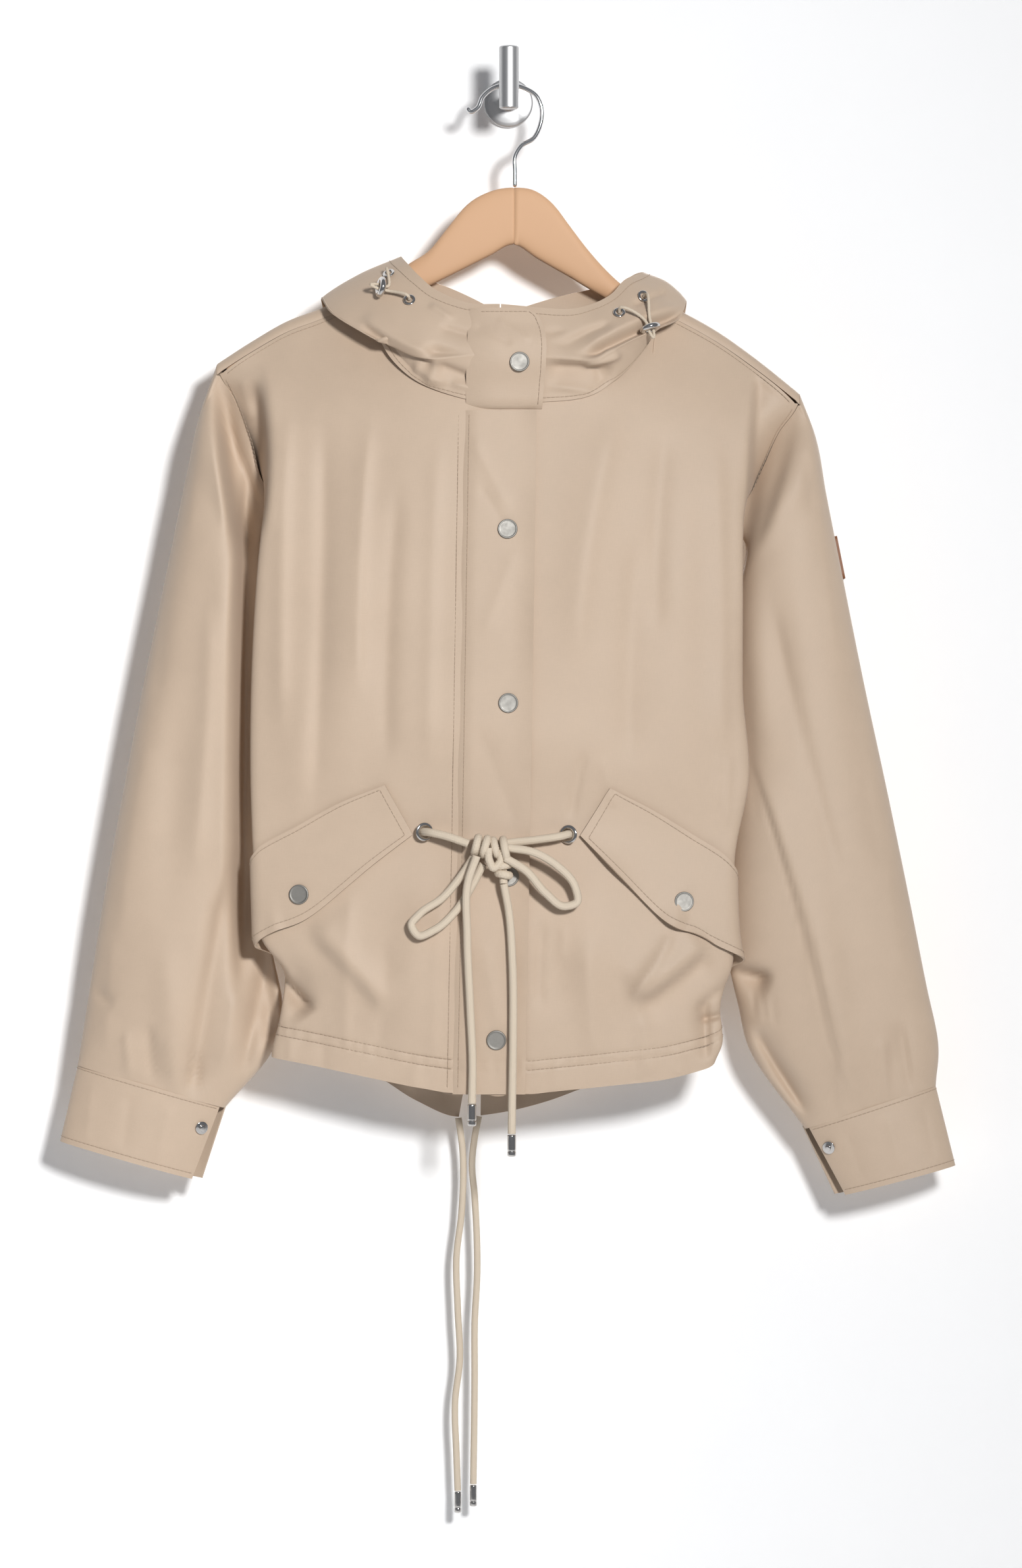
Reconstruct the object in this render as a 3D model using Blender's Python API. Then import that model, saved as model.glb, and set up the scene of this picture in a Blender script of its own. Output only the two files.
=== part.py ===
"""Cropped hooded jacket hung on a wooden hanger and a wall hook.

The origin is the centre of the wall plate's back face, +Z is up and the jacket's front faces -Y.
Tables and sizes are in millimetres and are scaled to metres when an object is made.
Left and right are the viewer's.  A body panel is flat in (s, z): s runs round the body from its
middle, and body_front and body_back bend that flat shape round the hanging jacket.
"""

import math

import bpy
import numpy as np
from mathutils import Vector

MM = 0.001
CLOTH = 1.2
PLACKET_CLOTH = 1.6
PLACKET_LIFT = 0.8
PLACKET_HALF = 27.5
PLACKET_ENDS = (-760.5, -243.6)
GAP = 0.3
SEAM = 0.7

# Hanging plane and shoulder
RIDGE_Y = -58.0
RIDGE_ROUND = 9.0
RIDGE_LEAN = 0.45
SOFT = 5.0
CORNER = 12.0

# Grid sizes: cells across, cells up
PANEL_ACROSS = 12
SIDE_ROWS = 10
ARMHOLE_ROWS = 8
SHOULDER_ROWS = 4
NECK_CELLS = 6
BACK_NECK_CELLS = 7
SLEEVE_ALONG = 15
HOOD_AROUND = 40
HOOD_UP = (0, 0.12, 0.25, 0.37, 0.45, 0.53, 0.64, 0.82, 1.0)

# Snaps, eyelets and cords
SNAP_RADIUS = 7.5
SNAP_HEIGHT = 2.2
STUD_RADIUS = 5.0
WAIST_EYELET = (5.6, 1.6)
HOOD_EYELET = (3.6, 1.1)
WAIST_CORD = 6.5
HEM_CORD = 5.5
ELASTIC = 2.6
TIP_LENGTH = 17.0

# Half outlines of the body, one row per height: z, distance of the front fold from the middle line,
# turn of the side at the fold in degrees, run of the side from the fold to its seam
LEFT_SIDE = np.array([
    (-800, 184, 122, 38),
    (-733, 184, 122, 38),
    (-705, 178, 120, 38),
    (-672, 174, 120, 38),
    (-640, 193, 124, 40),
    (-580, 198, 124, 40),
    (-500, 200, 122, 40),
    (-417, 198, 122, 40),
    (-338, 192, 120, 40),
    (-315, 189, 112, 39),
    (-293, 186, 86, 37),
    (-262, 183, 64, 34),
    (-231, 187, 42, 31),
    (-214, 188, 20, 34),
    (-190, 188, 0, 36),
    (-100, 188, 0, 36),
], float)
RIGHT_SIDE = np.array([
    (-800, 158, 122, 38),
    (-742, 160, 122, 38),
    (-720, 167, 122, 38),
    (-696, 165, 120, 38),
    (-657, 175, 122, 39),
    (-586, 176, 124, 40),
    (-516, 187, 122, 40),
    (-450, 182, 122, 40),
    (-348, 182, 120, 40),
    (-325, 182, 112, 39),
    (-305, 182, 86, 37),
    (-283, 183, 70, 35),
    (-259, 184, 50, 34),
    (-238, 186, 22, 37),
    (-205, 187, 0, 39),
    (-100, 187, 0, 39),
], float)

# Depth from the hanging plane by height: z, front middle, front fold, back
DEPTH = np.array([
    (-800, 50, 34, 36),
    (-761, 52, 34, 36),
    (-700, 58, 36, 34),
    (-640, 62, 40, 33),
    (-563, 58, 40, 31),
    (-480, 66, 42, 31),
    (-400, 66, 42, 30),
    (-330, 62, 40, 28),
    (-260, 54, 34, 25),
    (-200, 46, 28, 22),
    (-100, 40, 24, 20),
], float)

# Shoulder ridge: distance from the middle line, z
LEFT_RIDGE = np.array([
    (0, -90), (60, -117), (76, -127), (90, -137.5), (110, -148), (144, -163), (169, -172.5), (196, -188),
    (226, -207.5),
], float)
RIGHT_RIDGE = np.array([
    (0, -90), (60, -116), (83, -138.5), (108, -153), (135, -166.5), (159, -180), (190, -202), (226, -231),
], float)

# Back edge of the armholes: z, distance from the middle line, depth behind the hanging plane
LEFT_ARMHOLE = np.array([
    (-315, 174.4, -2.6), (-293, 193, 12), (-262, 204, 17), (-231, 216, 14), (-214, 222, 9), (-100, 222, 9),
], float)
RIGHT_ARMHOLE = np.array([
    (-325, 167.4, -3.2), (-305, 188, 12), (-283, 200, 16), (-255, 215, 14), (-238, 222, 9), (-100, 222, 9),
], float)
BACK_INSET = 28.0
SHOULDER_X = 221.0
CAP_EASE = 2.2

# Neck seam from the front middle to the shoulder: x, z
LEFT_NECK = np.array([
    (-6, -240), (-30, -236), (-53, -230), (-76, -218), (-94, -197), (-101, -180), (-106, -149.5),
], float)
RIGHT_NECK = np.array([
    (-6, -240), (26, -240), (54, -235.5), (80, -222), (97, -206), (110, -186), (113, -162),
], float)
FRONT_LOW = -761.0
BACK_WAIST = -330.0
BACK_NECK_DROP = -166.0
BACK_NECK_TURN = 0.72

# Front opening's line under the placket: z, x
OPENING = np.array([(-800, -15.5), (-500, -10), (-240, -6), (-100, -4)], float)

# Middle line of the back and half the width of its split: z, x, half
SPLIT = np.array([
    (-790, -30.5, 9), (-745, -26.5, 5), (-700, -23.5, 0), (-400, -11.5, 0), (-150, -4, 0),
], float)

# Hems: s, z
FRONT_HEM = np.array([
    (-240, -729), (-184, -733), (-150, -739), (-111, -747), (-60, -757), (-20, -761), (0, -761),
    (40, -758), (80, -754), (123, -749), (150, -742), (180, -732), (215, -727),
], float)
BACK_HEM = np.array([
    (-240, -729), (-190, -732), (-140, -740), (-103, -750), (-70, -770), (-38, -782), (-22, -781),
    (30, -770), (60, -759), (100, -746), (150, -735), (215, -727),
], float)
TAIL_S = (-38.0, -22.0)

# Main folds of the front, seen from the front: x, z of both ends, half width, height
FRONT_FOLDS = (
    (-150, -430, -158, -560, 16, 3.0),
    (-118, -300, -128, -560, 17, 3.0),
    (-78, -260, -84, -540, 15, 2.4),
    (78, -240, 46, -440, 26, 4.0),
    (130, -270, 128, -540, 20, 3.0),
    (-172, -660, -150, -696, 10, -6.0),
    (-152, -640, -93, -700, 14, 4.0),
    (-66, -590, -78, -740, 15, 3.0),
    (36, -625, 36, -700, 14, -3.0),
    (60, -610, 70, -745, 15, 3.0),
    (140, -657, 88, -690, 12, 4.0),
    (148, -694, 150, -722, 8, -4.0),
)

# Sleeves from armhole to cuff seam, seen from the front: outer x, outer z, inner x, inner z,
# middle depth y, half depth
LEFT_SLEEVE = np.array([
    (-236, -244, -188, -336, -56, 33),
    (-246, -290, -187, -372, -57, 35),
    (-260.5, -361, -189, -425, -58, 36),
    (-277, -441, -190, -486, -58, 36),
    (-296, -541, -188, -568, -57, 35),
    (-310.5, -621, -182, -645, -55, 33),
    (-320, -681, -173, -704, -53, 31),
    (-325, -713, -181, -731, -52, 28),
    (-329.5, -741, -217, -773.5, -52, 18),
], float)
RIGHT_SLEEVE = np.array([
    (234, -258, 181, -342, -56, 30),
    (243, -305, 176, -380, -57, 35),
    (254, -361, 174, -430, -58, 36),
    (270, -441, 174, -488, -58, 36),
    (291.5, -541, 170, -578, -57, 35),
    (308, -621, 167, -651, -55, 33),
    (320, -681, 176, -696, -53, 31),
    (328.5, -721, 185.5, -731.5, -52, 28),
    (327, -756.5, 227, -789.5, -52, 17),
], float)
SLEEVE_SQUARE = 0.86

# Main folds of the sleeves, as FRONT_FOLDS
LEFT_SLEEVE_FOLDS = (
    (-214, -300, -222, -520, 12, 4.0),
    (-246, -420, -262, -640, 16, -4.0),
    (-305, -660, -318, -694, 9, -4.0),
    (-188, -694, -202, -750, 9, -5.0),
    (-262, -640, -252, -756, 12, 3.5),
)
RIGHT_SLEEVE_FOLDS = (
    (196, -350, 214, -520, 13, -4.0),
    (224, -560, 262, -765, 13, 4.0),
    (176, -668, 198, -684, 9, -5.0),
    (190, -730, 222, -768, 8, -5.0),
    (300, -700, 288, -765, 11, -3.5),
)

# Cuffs: outer x, outer z, inner x, inner z, half depth, at the seam and at the open end
LEFT_CUFF = np.array([(-329.6, -741.6, -217.6, -774.1, 19), (-343, -799, -239, -828.5, 17)], float)
RIGHT_CUFF = np.array([(327.1, -757.4, 227.4, -790.4, 18), (342, -817.5, 255, -840.5, 17)], float)
CUFF_Y = -52.0
CUFF_OPEN = 0.34
STUD_AT = (1, 1)
STUD_LIFT = 0.75

# Hood, a row per place round the neck from the left front to the right front:
# seam x, y, z; roll x, y, z; edge x, y, z; bulge of the outer layer
HOOD = np.array([
    (-6.6, -110, -238.5, -6.6, -117, -200, -6.6, -108, -163, 0),
    (-36, -109, -234, -38, -118, -203, -30, -106, -162, 1),
    (-68, -105, -222, -66, -119, -205, -54, -99, -152, 4),
    (-89, -98, -203.5, -90, -113, -195, -68, -90, -140, 5),
    (-100, -88, -182, -114, -102, -182, -76, -80, -131, 5),
    (-105, -77, -160, -135, -86, -168, -80, -69, -126, 4),
    (-105, -58, -139, -143, -62, -155.5, -82, -58, -123, 3),
    (-101, -44, -143, -140, -40, -170, -79, -45, -127, 5),
    (-92, -37, -152, -130, -28, -210, -70, -27, -138, 5),
    (-62, -36, -162, -104, -19, -302, -48, -20, -152, 7),
    (-5, -36, -167, -8, -17, -372, -5, -13, -184, 8),
    (60, -36, -166, 92, -19, -308, 56, -20, -158, 7),
    (98, -37, -162, 123, -28, -220, 82, -27, -144, 5),
    (108, -44, -152, 134, -37, -173, 96, -45, -136, 5),
    (111, -57, -149, 136, -62, -157.5, 103, -58, -135, 4),
    (112.5, -74, -170, 130, -86, -172, 97, -70, -138, 5),
    (110, -88, -185, 115, -101, -180, 88, -81, -143, 5),
    (97, -97, -205, 94, -111, -190, 77, -91, -155, 5),
    (80, -103, -221, 76, -117, -199, 60, -100, -163.5, 4),
    (54, -108, -234.5, 56, -118, -206, 40, -105, -166.5, 1),
    (-5.4, -110, -238.5, -5.4, -117, -200, -5.4, -108, -163, 0),
], float)
HOOD_MIDDLE = (-2.0, -60.0)
HOOD_RAILS = (0, 0.22, 0.38, 0.45, 0.52, 0.74, 1.0)
HOOD_ROLL = 3.2

# Flaps, flat on the front from the inner end round the side: top s, top z, bottom s, bottom z
LEFT_FLAP = np.array([
    (-93, -526.5, -72, -564),
    (-127, -540, -104, -589),
    (-161, -558.5, -148, -625.5),
    (-185, -571.5, -176, -637.5),
    (-199, -583, -192, -645),
    (-226, -598, -221, -655),
], float)
RIGHT_FLAP = np.array([
    (76.5, -529, 54, -565),
    (109, -545.5, 87, -599.5),
    (139, -564, 119, -631),
    (161, -578, 142, -641),
    (176, -592, 172, -655),
    (200, -610, 199, -667),
], float)
FLAP_CELLS = (10, 4)
FLAP_LIFT = (1.2, 3.0)
FLAP_SNAPS = (("snap_flap_left", -157.5, -609.5), ("snap_flap_right", 132.0, -615.0))

# Collar tab on the hood's stand: z, y, left x, right x
TAB = np.array([
    (-242.5, -113.2, -32, 25.5),
    (-225, -115.4, -32, 27),
    (-205, -120.2, -31.5, 28.5),
    (-190, -119.0, -31, 28.5),
    (-178, -114.8, -30.5, 25.5),
    (-170, -112.8, -30.5, 20),
    (-166, -111.8, -30, 12),
], float)
TAB_SNAP = (8.5, -207.5)

# Snaps on the front: name, x, z
FRONT_SNAPS = (
    ("snap_chest", -0.5, -334),
    ("snap_middle", 0, -465),
    ("snap_waist", 0.5, -596),
    ("snap_hem", -9, -719),
)

# Hanger: x, top z, bottom z, half thickness
HANGER = np.array([
    (-215, -202.5, -218, 5), (-196, -190.7, -210, 5.6), (-169, -175.2, -197, 6), (-144, -165.8, -188, 6),
    (-110, -150.6, -171, 6), (-90, -140, -160.5, 6), (-76, -128.7, -153.5, 6.2), (-60, -118, -145.5, 6.5),
    (-47, -102, -139, 6.5), (-32, -84, -131.5, 6.5), (-14, -73.5, -122.5, 6.5), (4, -70.5, -114, 6.5),
    (21.5, -73.5, -124.5, 6.5), (34.5, -83.5, -132, 6.5), (47, -100, -139, 6.5), (60, -117, -147, 6.5),
    (83, -141.5, -160, 6.2), (97, -152.5, -168, 5.6), (113, -161, -178, 5.6), (135, -169.4, -189, 6),
    (159, -183, -203, 6), (190, -205, -224, 5.6), (215, -225, -239, 5),
], float)
HANGER_SQUARE = np.array([(-215, 1.0), (-80, 1.0), (-50, 0.55), (50, 0.55), (80, 1.0), (215, 1.0)], float)
HOOK_WIRE = 3.6
HOOK_ROUTE = np.array([
    (5, -70.1), (5, -58), (5, -47), (10, -38.5), (19, -33), (24.5, -22), (25.5, -11), (21, 0), (12, 5.6),
    (0, 8.1), (-11.5, 5.6), (-19.5, -1), (-24, -10), (-29, -12.5), (-31.5, -9),
], float)
PLATE_RADIUS = 19.0
PLATE_THICK = 6.0
POST_RADIUS = 6.0
POST_END = -66.0
BAR_RADIUS = 7.5
BAR_TOP = 36.0
BAR_BOTTOM = -12.0

# Waist bow: x, z, lift off the front
KNOT = (-15.0, -573.0, 17.0)
KNOT_HALF = (15.0, 9.5, 9.5)
STOPPER = (-4.0, -591.5, 14.0)
STOPPER_HALF = (7.5, 7.0, 9.0)
EYELET_TILT = 0.5
EYELET_LIFT = 4.4
LEFT_LEAD = ((-64.3, -562, 2.4), (-63, -562, 4.6), (-59, -562.5, 9), (-46, -565.5, 13.5), (-29.9, -571, 16))
RIGHT_LEAD = ((46.3, -564, 2.4), (45, -564, 4.6), (41, -565, 8.5), (22, -568, 10.5), (-0.4, -570.5, 11.5))
LEFT_LOOP = (
    (-25.5, -580.2, 14.5), (-34, -593, 12), (-50, -612, 9), (-67, -624, 8), (-73, -632, 8), (-68, -640, 8),
    (-56, -636, 8), (-40, -622, 8), (-26, -600, 9), (-19, -586, 11),
)
RIGHT_LOOP = (
    (-0.2, -574, 20), (18, -577, 21), (36, -587, 18), (50, -603, 14), (51.5, -615, 12), (42, -618, 12),
    (28, -608, 15), (13, -591, 19), (-2.5, -581.5, 21),
)
LEFT_TAIL = (
    (-23.8, -580.1, 24.3), (-30, -598, 20), (-31, -640, 9), (-29, -690, 7.5), (-27, -740, 7.5),
    (-27.5, -767, 8),
)
RIGHT_TAIL = (
    (-3.5, -601.2, 14), (0, -620, 10), (3, -660, 8), (3.5, -719, 8), (3, -755, 8), (2.5, -790, 9),
)

# Hem cords hanging from the tail: x, z
HEM_Y = -23.0
LEFT_HEM_CORD = (
    (-38.5, -782.9), (-35.5, -805), (-36, -855), (-40, -890), (-39, -930), (-37.5, -970), (-41, -1000),
    (-40, -1042), (-39, -1069.5),
)
RIGHT_HEM_CORD = (
    (-22.8, -781.6), (-26, -798), (-28, -818), (-26, -843), (-24, -900), (-26, -942), (-26, -980),
    (-27, -1064.5),
)

# Hood eyelets and cord locks, seen from the front: x, z of both eyelets and the lock, way through the lock
LEFT_LOCK = ((-91, -139), (-75, -160), (-94, -154.5), (-0.93, -0.3, 0.2))
RIGHT_LOCK = ((102, -156), (84, -170), (102.5, -177), (0.3, -0.2, -0.93))
LOCK_RING = (5.8, 2.3)
LOCK_LIFT = 8.8
STRAND = 1.9
ELASTIC_SEAT = 0.4
ELASTIC_RISE = 4.0

# Sleeve patch: rows along the sleeve and columns round it
PATCH_ROWS = (3, 5)
PATCH_COLUMNS = (10, 13)
PATCH_THICK = 1.4

COLOURS = {
    "cloth": ((0.58, 0.47, 0.36), 0.0, 0.85),
    "cord": ((0.60, 0.51, 0.40), 0.0, 0.8),
    "nickel": ((0.60, 0.58, 0.56), 1.0, 0.25),
    "wood": ((0.63, 0.38, 0.22), 0.0, 0.4),
    "chrome": ((0.75, 0.75, 0.75), 1.0, 0.12),
    "steel": ((0.55, 0.55, 0.55), 1.0, 0.35),
    "leather": ((0.22, 0.09, 0.04), 0.0, 0.55),
}


def curve(stations, values, at, tight=True):
    """Smooth line through rows of (station, value), read at the numbers in at.

    A tight one never overshoots its rows.
    """
    stations = np.asarray(stations, float)
    values = np.asarray(values, float)
    slopes = np.gradient(values, stations, axis=0)
    if tight:
        rise = np.diff(values) / np.diff(stations)
        limit = 2 * np.minimum(np.abs(rise[:-1]), np.abs(rise[1:])) * (rise[:-1] * rise[1:] > 0)
        slopes[1:-1] = np.clip(slopes[1:-1], -limit, limit)
    at = np.clip(at, stations[0], stations[-1])
    low = np.clip(np.searchsorted(stations, at, side="right") - 1, 0, len(stations) - 2)
    span = stations[low + 1] - stations[low]
    t = (at - stations[low]) / span
    if values.ndim > 1:
        span = span[..., None]
        t = t[..., None]
    start = (1 + 2 * t) * (1 - t) ** 2 * values[low] + t * (1 - t) ** 2 * span * slopes[low]
    end = t * t * (3 - 2 * t) * values[low + 1] - t * t * (1 - t) * span * slopes[low + 1]
    return start + end


def path(points, count):
    """Count points, evenly spaced, on a smooth line through the given points."""
    points = np.asarray(points, float)
    steps = np.linalg.norm(np.diff(points, axis=0), axis=1)
    dense = curve(np.concatenate([[0], np.cumsum(steps)]), points, np.linspace(0, steps.sum(), 400), False)
    steps = np.linalg.norm(np.diff(dense, axis=0), axis=1)
    length = np.concatenate([[0], np.cumsum(steps)])
    at = np.linspace(0, length[-1], count)
    return np.stack([np.interp(at, length, dense[:, k]) for k in range(points.shape[1])], axis=1)


def by_side(s, left, right, column, at):
    """A column of the left or right table, by the sign of s, read at the given stations."""
    return np.where(
        s < 0,
        curve(left[:, 0], left[:, column], at),
        curve(right[:, 0], right[:, column], at),
    )


def folds(rows, x, z):
    """Height of soft folds laid along straight lines in the front view, fading to both ends."""
    height = np.zeros(np.broadcast(x, z).shape)
    for x0, z0, x1, z1, half, rise in rows:
        run = math.hypot(x1 - x0, z1 - z0)
        along = ((x - x0) * (x1 - x0) + (z - z0) * (z1 - z0)) / run
        across = ((x - x0) * (z1 - z0) - (z - z0) * (x1 - x0)) / run
        fade = np.cos(np.clip((along / run - 0.5) * 0.8, -0.5, 0.5) * math.pi) ** 2
        height = height + rise * fade * np.exp(-(across / half) ** 2)
    return height


def ridge(x):
    """Height of the shoulder ridge over the hanger at x."""
    return by_side(x, LEFT_RIDGE, RIGHT_RIDGE, 1, np.abs(x))


def front_depth(s, x, z):
    """Depth of the front before the hanging plane.

    Near the shoulder it leans off the hanger, and lower down it is crowned.
    """
    fold = by_side(s, LEFT_SIDE, RIGHT_SIDE, 1, z)
    middle = curve(DEPTH[:, 0], DEPTH[:, 1], z)
    edge = curve(DEPTH[:, 0], DEPTH[:, 2], z)
    crown = edge + (middle - edge) * (1 - np.clip(x / fold, -1, 1) ** 2) + folds(FRONT_FOLDS, x, z)
    lean = RIDGE_ROUND + RIDGE_LEAN * (ridge(x) - RIDGE_ROUND - z)
    return -SOFT * np.log(np.exp(-crown / SOFT) + np.exp(-lean / SOFT))


def corner(d, bend, flat, edge, way):
    """Section of a body half in (x, y): flat up to the bend, a soft corner, then straight along way."""
    t = np.clip((d - bend + CORNER) / (2 * CORNER), 0, 1)[..., None]
    past = np.clip(d - bend - CORNER, 0, None)[..., None]
    start = np.stack([bend - CORNER, flat], axis=-1)
    knee = np.stack([bend, edge], axis=-1)
    end = knee + CORNER * way
    turned = (1 - t) ** 2 * start + 2 * t * (1 - t) * knee + t * t * end + past * way
    return turned[..., 0], turned[..., 1]


def body_front(s, z):
    """Point on the front's outer face for flat coordinates s round the body and height z."""
    s, z = np.broadcast_arrays(np.asarray(s, float), np.asarray(z, float))
    sign = np.where(s < 0, -1.0, 1.0)
    d = np.abs(s)
    fold = by_side(s, LEFT_SIDE, RIGHT_SIDE, 1, z)
    turn = np.radians(by_side(s, LEFT_SIDE, RIGHT_SIDE, 2, z))
    way = np.stack([np.cos(turn), np.sin(turn)], axis=-1)
    flat_x = np.minimum(d, fold - CORNER)
    flat = RIDGE_Y - front_depth(s, sign * flat_x, z)
    knee = RIDGE_Y - front_depth(s, sign * fold, z)
    turned_x, turned_y = corner(d, fold, flat, knee, way)
    inside = d <= fold - CORNER
    x = np.where(inside, d, turned_x)
    y = np.where(inside, flat, turned_y)
    return np.stack([sign * x, y, z], axis=-1)


def front_reach(sign, z):
    """Flat distance from the middle line to the side seam or armhole of the front."""
    table = LEFT_SIDE if sign < 0 else RIGHT_SIDE
    return curve(table[:, 0], table[:, 1] + table[:, 3], z)


def back_knee(s, z):
    """Corner of the back's section and the seam point it runs to, as distance from the middle and y."""
    fold = by_side(s, LEFT_SIDE, RIGHT_SIDE, 1, z)
    run = by_side(s, LEFT_SIDE, RIGHT_SIDE, 3, z)
    sign = np.where(s < 0, -1.0, 1.0)
    seam = body_front(sign * (fold + run), z)
    pit = np.where(s < 0, LEFT_ARMHOLE[0, 0], RIGHT_ARMHOLE[0, 0])
    seam_x = np.where(z < pit, np.abs(seam[..., 0]), by_side(s, LEFT_ARMHOLE, RIGHT_ARMHOLE, 1, z))
    hole_y = RIDGE_Y + by_side(s, LEFT_ARMHOLE, RIGHT_ARMHOLE, 2, z)
    seam_y = np.where(z < pit, seam[..., 1], hole_y)
    knee_y = RIDGE_Y + curve(DEPTH[:, 0], DEPTH[:, 3], z)
    turn = np.radians(by_side(s, LEFT_SIDE, RIGHT_SIDE, 2, np.minimum(z, pit)))
    knee_x = np.where(z < pit, seam_x + (knee_y - seam_y) / np.tan(turn), fold - BACK_INSET)
    return knee_x, knee_y, seam_x, seam_y


def back_reach(sign, z):
    """Flat distance from the middle line to the side seam or armhole of the back."""
    z = np.asarray(z, float)
    knee_x, knee_y, seam_x, seam_y = back_knee(np.full(z.shape, sign), z)
    return knee_x + np.hypot(seam_x - knee_x, seam_y - knee_y)


def body_back(s, up):
    """Point on the back's outer face.

    The way up is the height, then the length over the shoulder ridge to the front seam.
    """
    s, up = np.broadcast_arrays(np.asarray(s, float), np.asarray(up, float))
    sign = np.where(s < 0, -1.0, 1.0)
    d = np.abs(s)
    knee_x, knee_y, seam_x, seam_y = back_knee(s, up)
    run = np.stack([seam_x - knee_x, seam_y - knee_y], axis=-1)
    way = run / np.linalg.norm(run, axis=-1, keepdims=True)
    turned_x, turned_y = corner(d, knee_x, knee_y, knee_y, way)
    inside = d <= knee_x - CORNER
    x = sign * np.where(inside, d, turned_x)
    base = np.where(inside, knee_y, turned_y)
    top = ridge(x) - RIDGE_ROUND
    lean = RIDGE_ROUND + RIDGE_LEAN * np.clip(top - up, 0, None)
    y = RIDGE_Y - SOFT * np.log(np.exp(-(base - RIDGE_Y) / SOFT) + np.exp(-lean / SOFT))
    over = np.clip((up - top) / RIDGE_ROUND, 0, math.pi)
    y = np.where(up > top, RIDGE_Y + RIDGE_ROUND * np.cos(over), y)
    z = np.where(up > top, top + RIDGE_ROUND * np.sin(over), up)
    return np.stack([x, y, z], axis=-1)


def coons(bottom, top, middle, side):
    """Flat grid filled in between its four edges, given as rows of flat points."""
    a = np.linspace(0, 1, len(bottom))[:, None, None]
    b = np.linspace(0, 1, len(middle))[None, :, None]
    across = (1 - b) * bottom[:, None] + b * top[:, None]
    along = (1 - a) * middle[None] + a * side[None]
    ends = (1 - a) * ((1 - b) * bottom[0] + b * top[0]) + a * ((1 - b) * bottom[-1] + b * top[-1])
    return across + along - ends


def flat(s, z):
    """Flat points from s and z."""
    s, z = np.broadcast_arrays(s, z)
    return np.stack([s, z], axis=-1)


def rows_up(heights, counts):
    """Heights up an edge through the given ones, with a count of even rows between each pair."""
    pairs = zip(heights, heights[1:], counts)
    parts = [np.linspace(low, high, count + 1)[:-1] for low, high, count in pairs]
    return np.concatenate([*parts, heights[-1:]])


def neck_table(sign):
    """Neck seam of one side."""
    return LEFT_NECK if sign < 0 else RIGHT_NECK


def armpit(sign):
    """Height of an armpit."""
    return (LEFT_ARMHOLE if sign < 0 else RIGHT_ARMHOLE)[0, 0]


def ridge_at(x):
    """Height of the shoulder ridge at one x."""
    return float(ridge(np.array([x], float))[0])


def front_side(sign, past):
    """Flat points up a front's side seam and armhole, moved out by past."""
    top = ridge_at(sign * SHOULDER_X) - RIDGE_ROUND - SEAM
    hem = FRONT_HEM[0 if sign < 0 else -1, 1]
    z = rows_up((hem, armpit(sign), top), (SIDE_ROWS, ARMHOLE_ROWS))
    return flat(sign * (front_reach(sign, z) + past), z)


def back_side(sign, past):
    """Flat points up a back's side seam, armhole and over the shoulder end, moved out by past."""
    low = ridge_at(sign * SHOULDER_X) - RIDGE_ROUND
    hem = BACK_HEM[0 if sign < 0 else -1, 1]
    heights = (hem, armpit(sign), low, low + RIDGE_ROUND * math.pi)
    z = rows_up(heights, (SIDE_ROWS, ARMHOLE_ROWS, SHOULDER_ROWS))
    return flat(sign * (back_reach(sign, np.minimum(z, low)) + past), z)


def hem_row(table, start, end):
    """Flat points along a hem between two flat points."""
    s = np.linspace(start[0], end[0], PANEL_ACROSS + 1)
    row = flat(s, curve(table[:, 0], table[:, 1], s))
    row[0] = start
    row[-1] = end
    return row


def front_panel(sign):
    """Flat grid of a front from the opening to its side seam and armhole."""
    side = front_side(sign, -SEAM / 2)
    neck = path(neck_table(sign), NECK_CELLS + 1)
    neck[-1, 1] = ridge_at(neck[-1, 0]) - RIDGE_ROUND - SEAM
    shoulder = np.linspace(neck[-1, 0], side[-1, 0], PANEL_ACROSS - NECK_CELLS + 1)[1:]
    top = np.concatenate([neck, flat(shoulder, ridge(shoulder) - RIDGE_ROUND - SEAM)])
    middle_z = np.linspace(FRONT_LOW, neck[0, 1], len(side))
    middle = flat(curve(OPENING[:, 0], OPENING[:, 1], middle_z) + sign * SEAM / 2, middle_z)
    top[0] = middle[-1]
    top[-1] = side[-1]
    return coons(hem_row(FRONT_HEM, middle[0], side[0]), top, middle, side)


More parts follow.
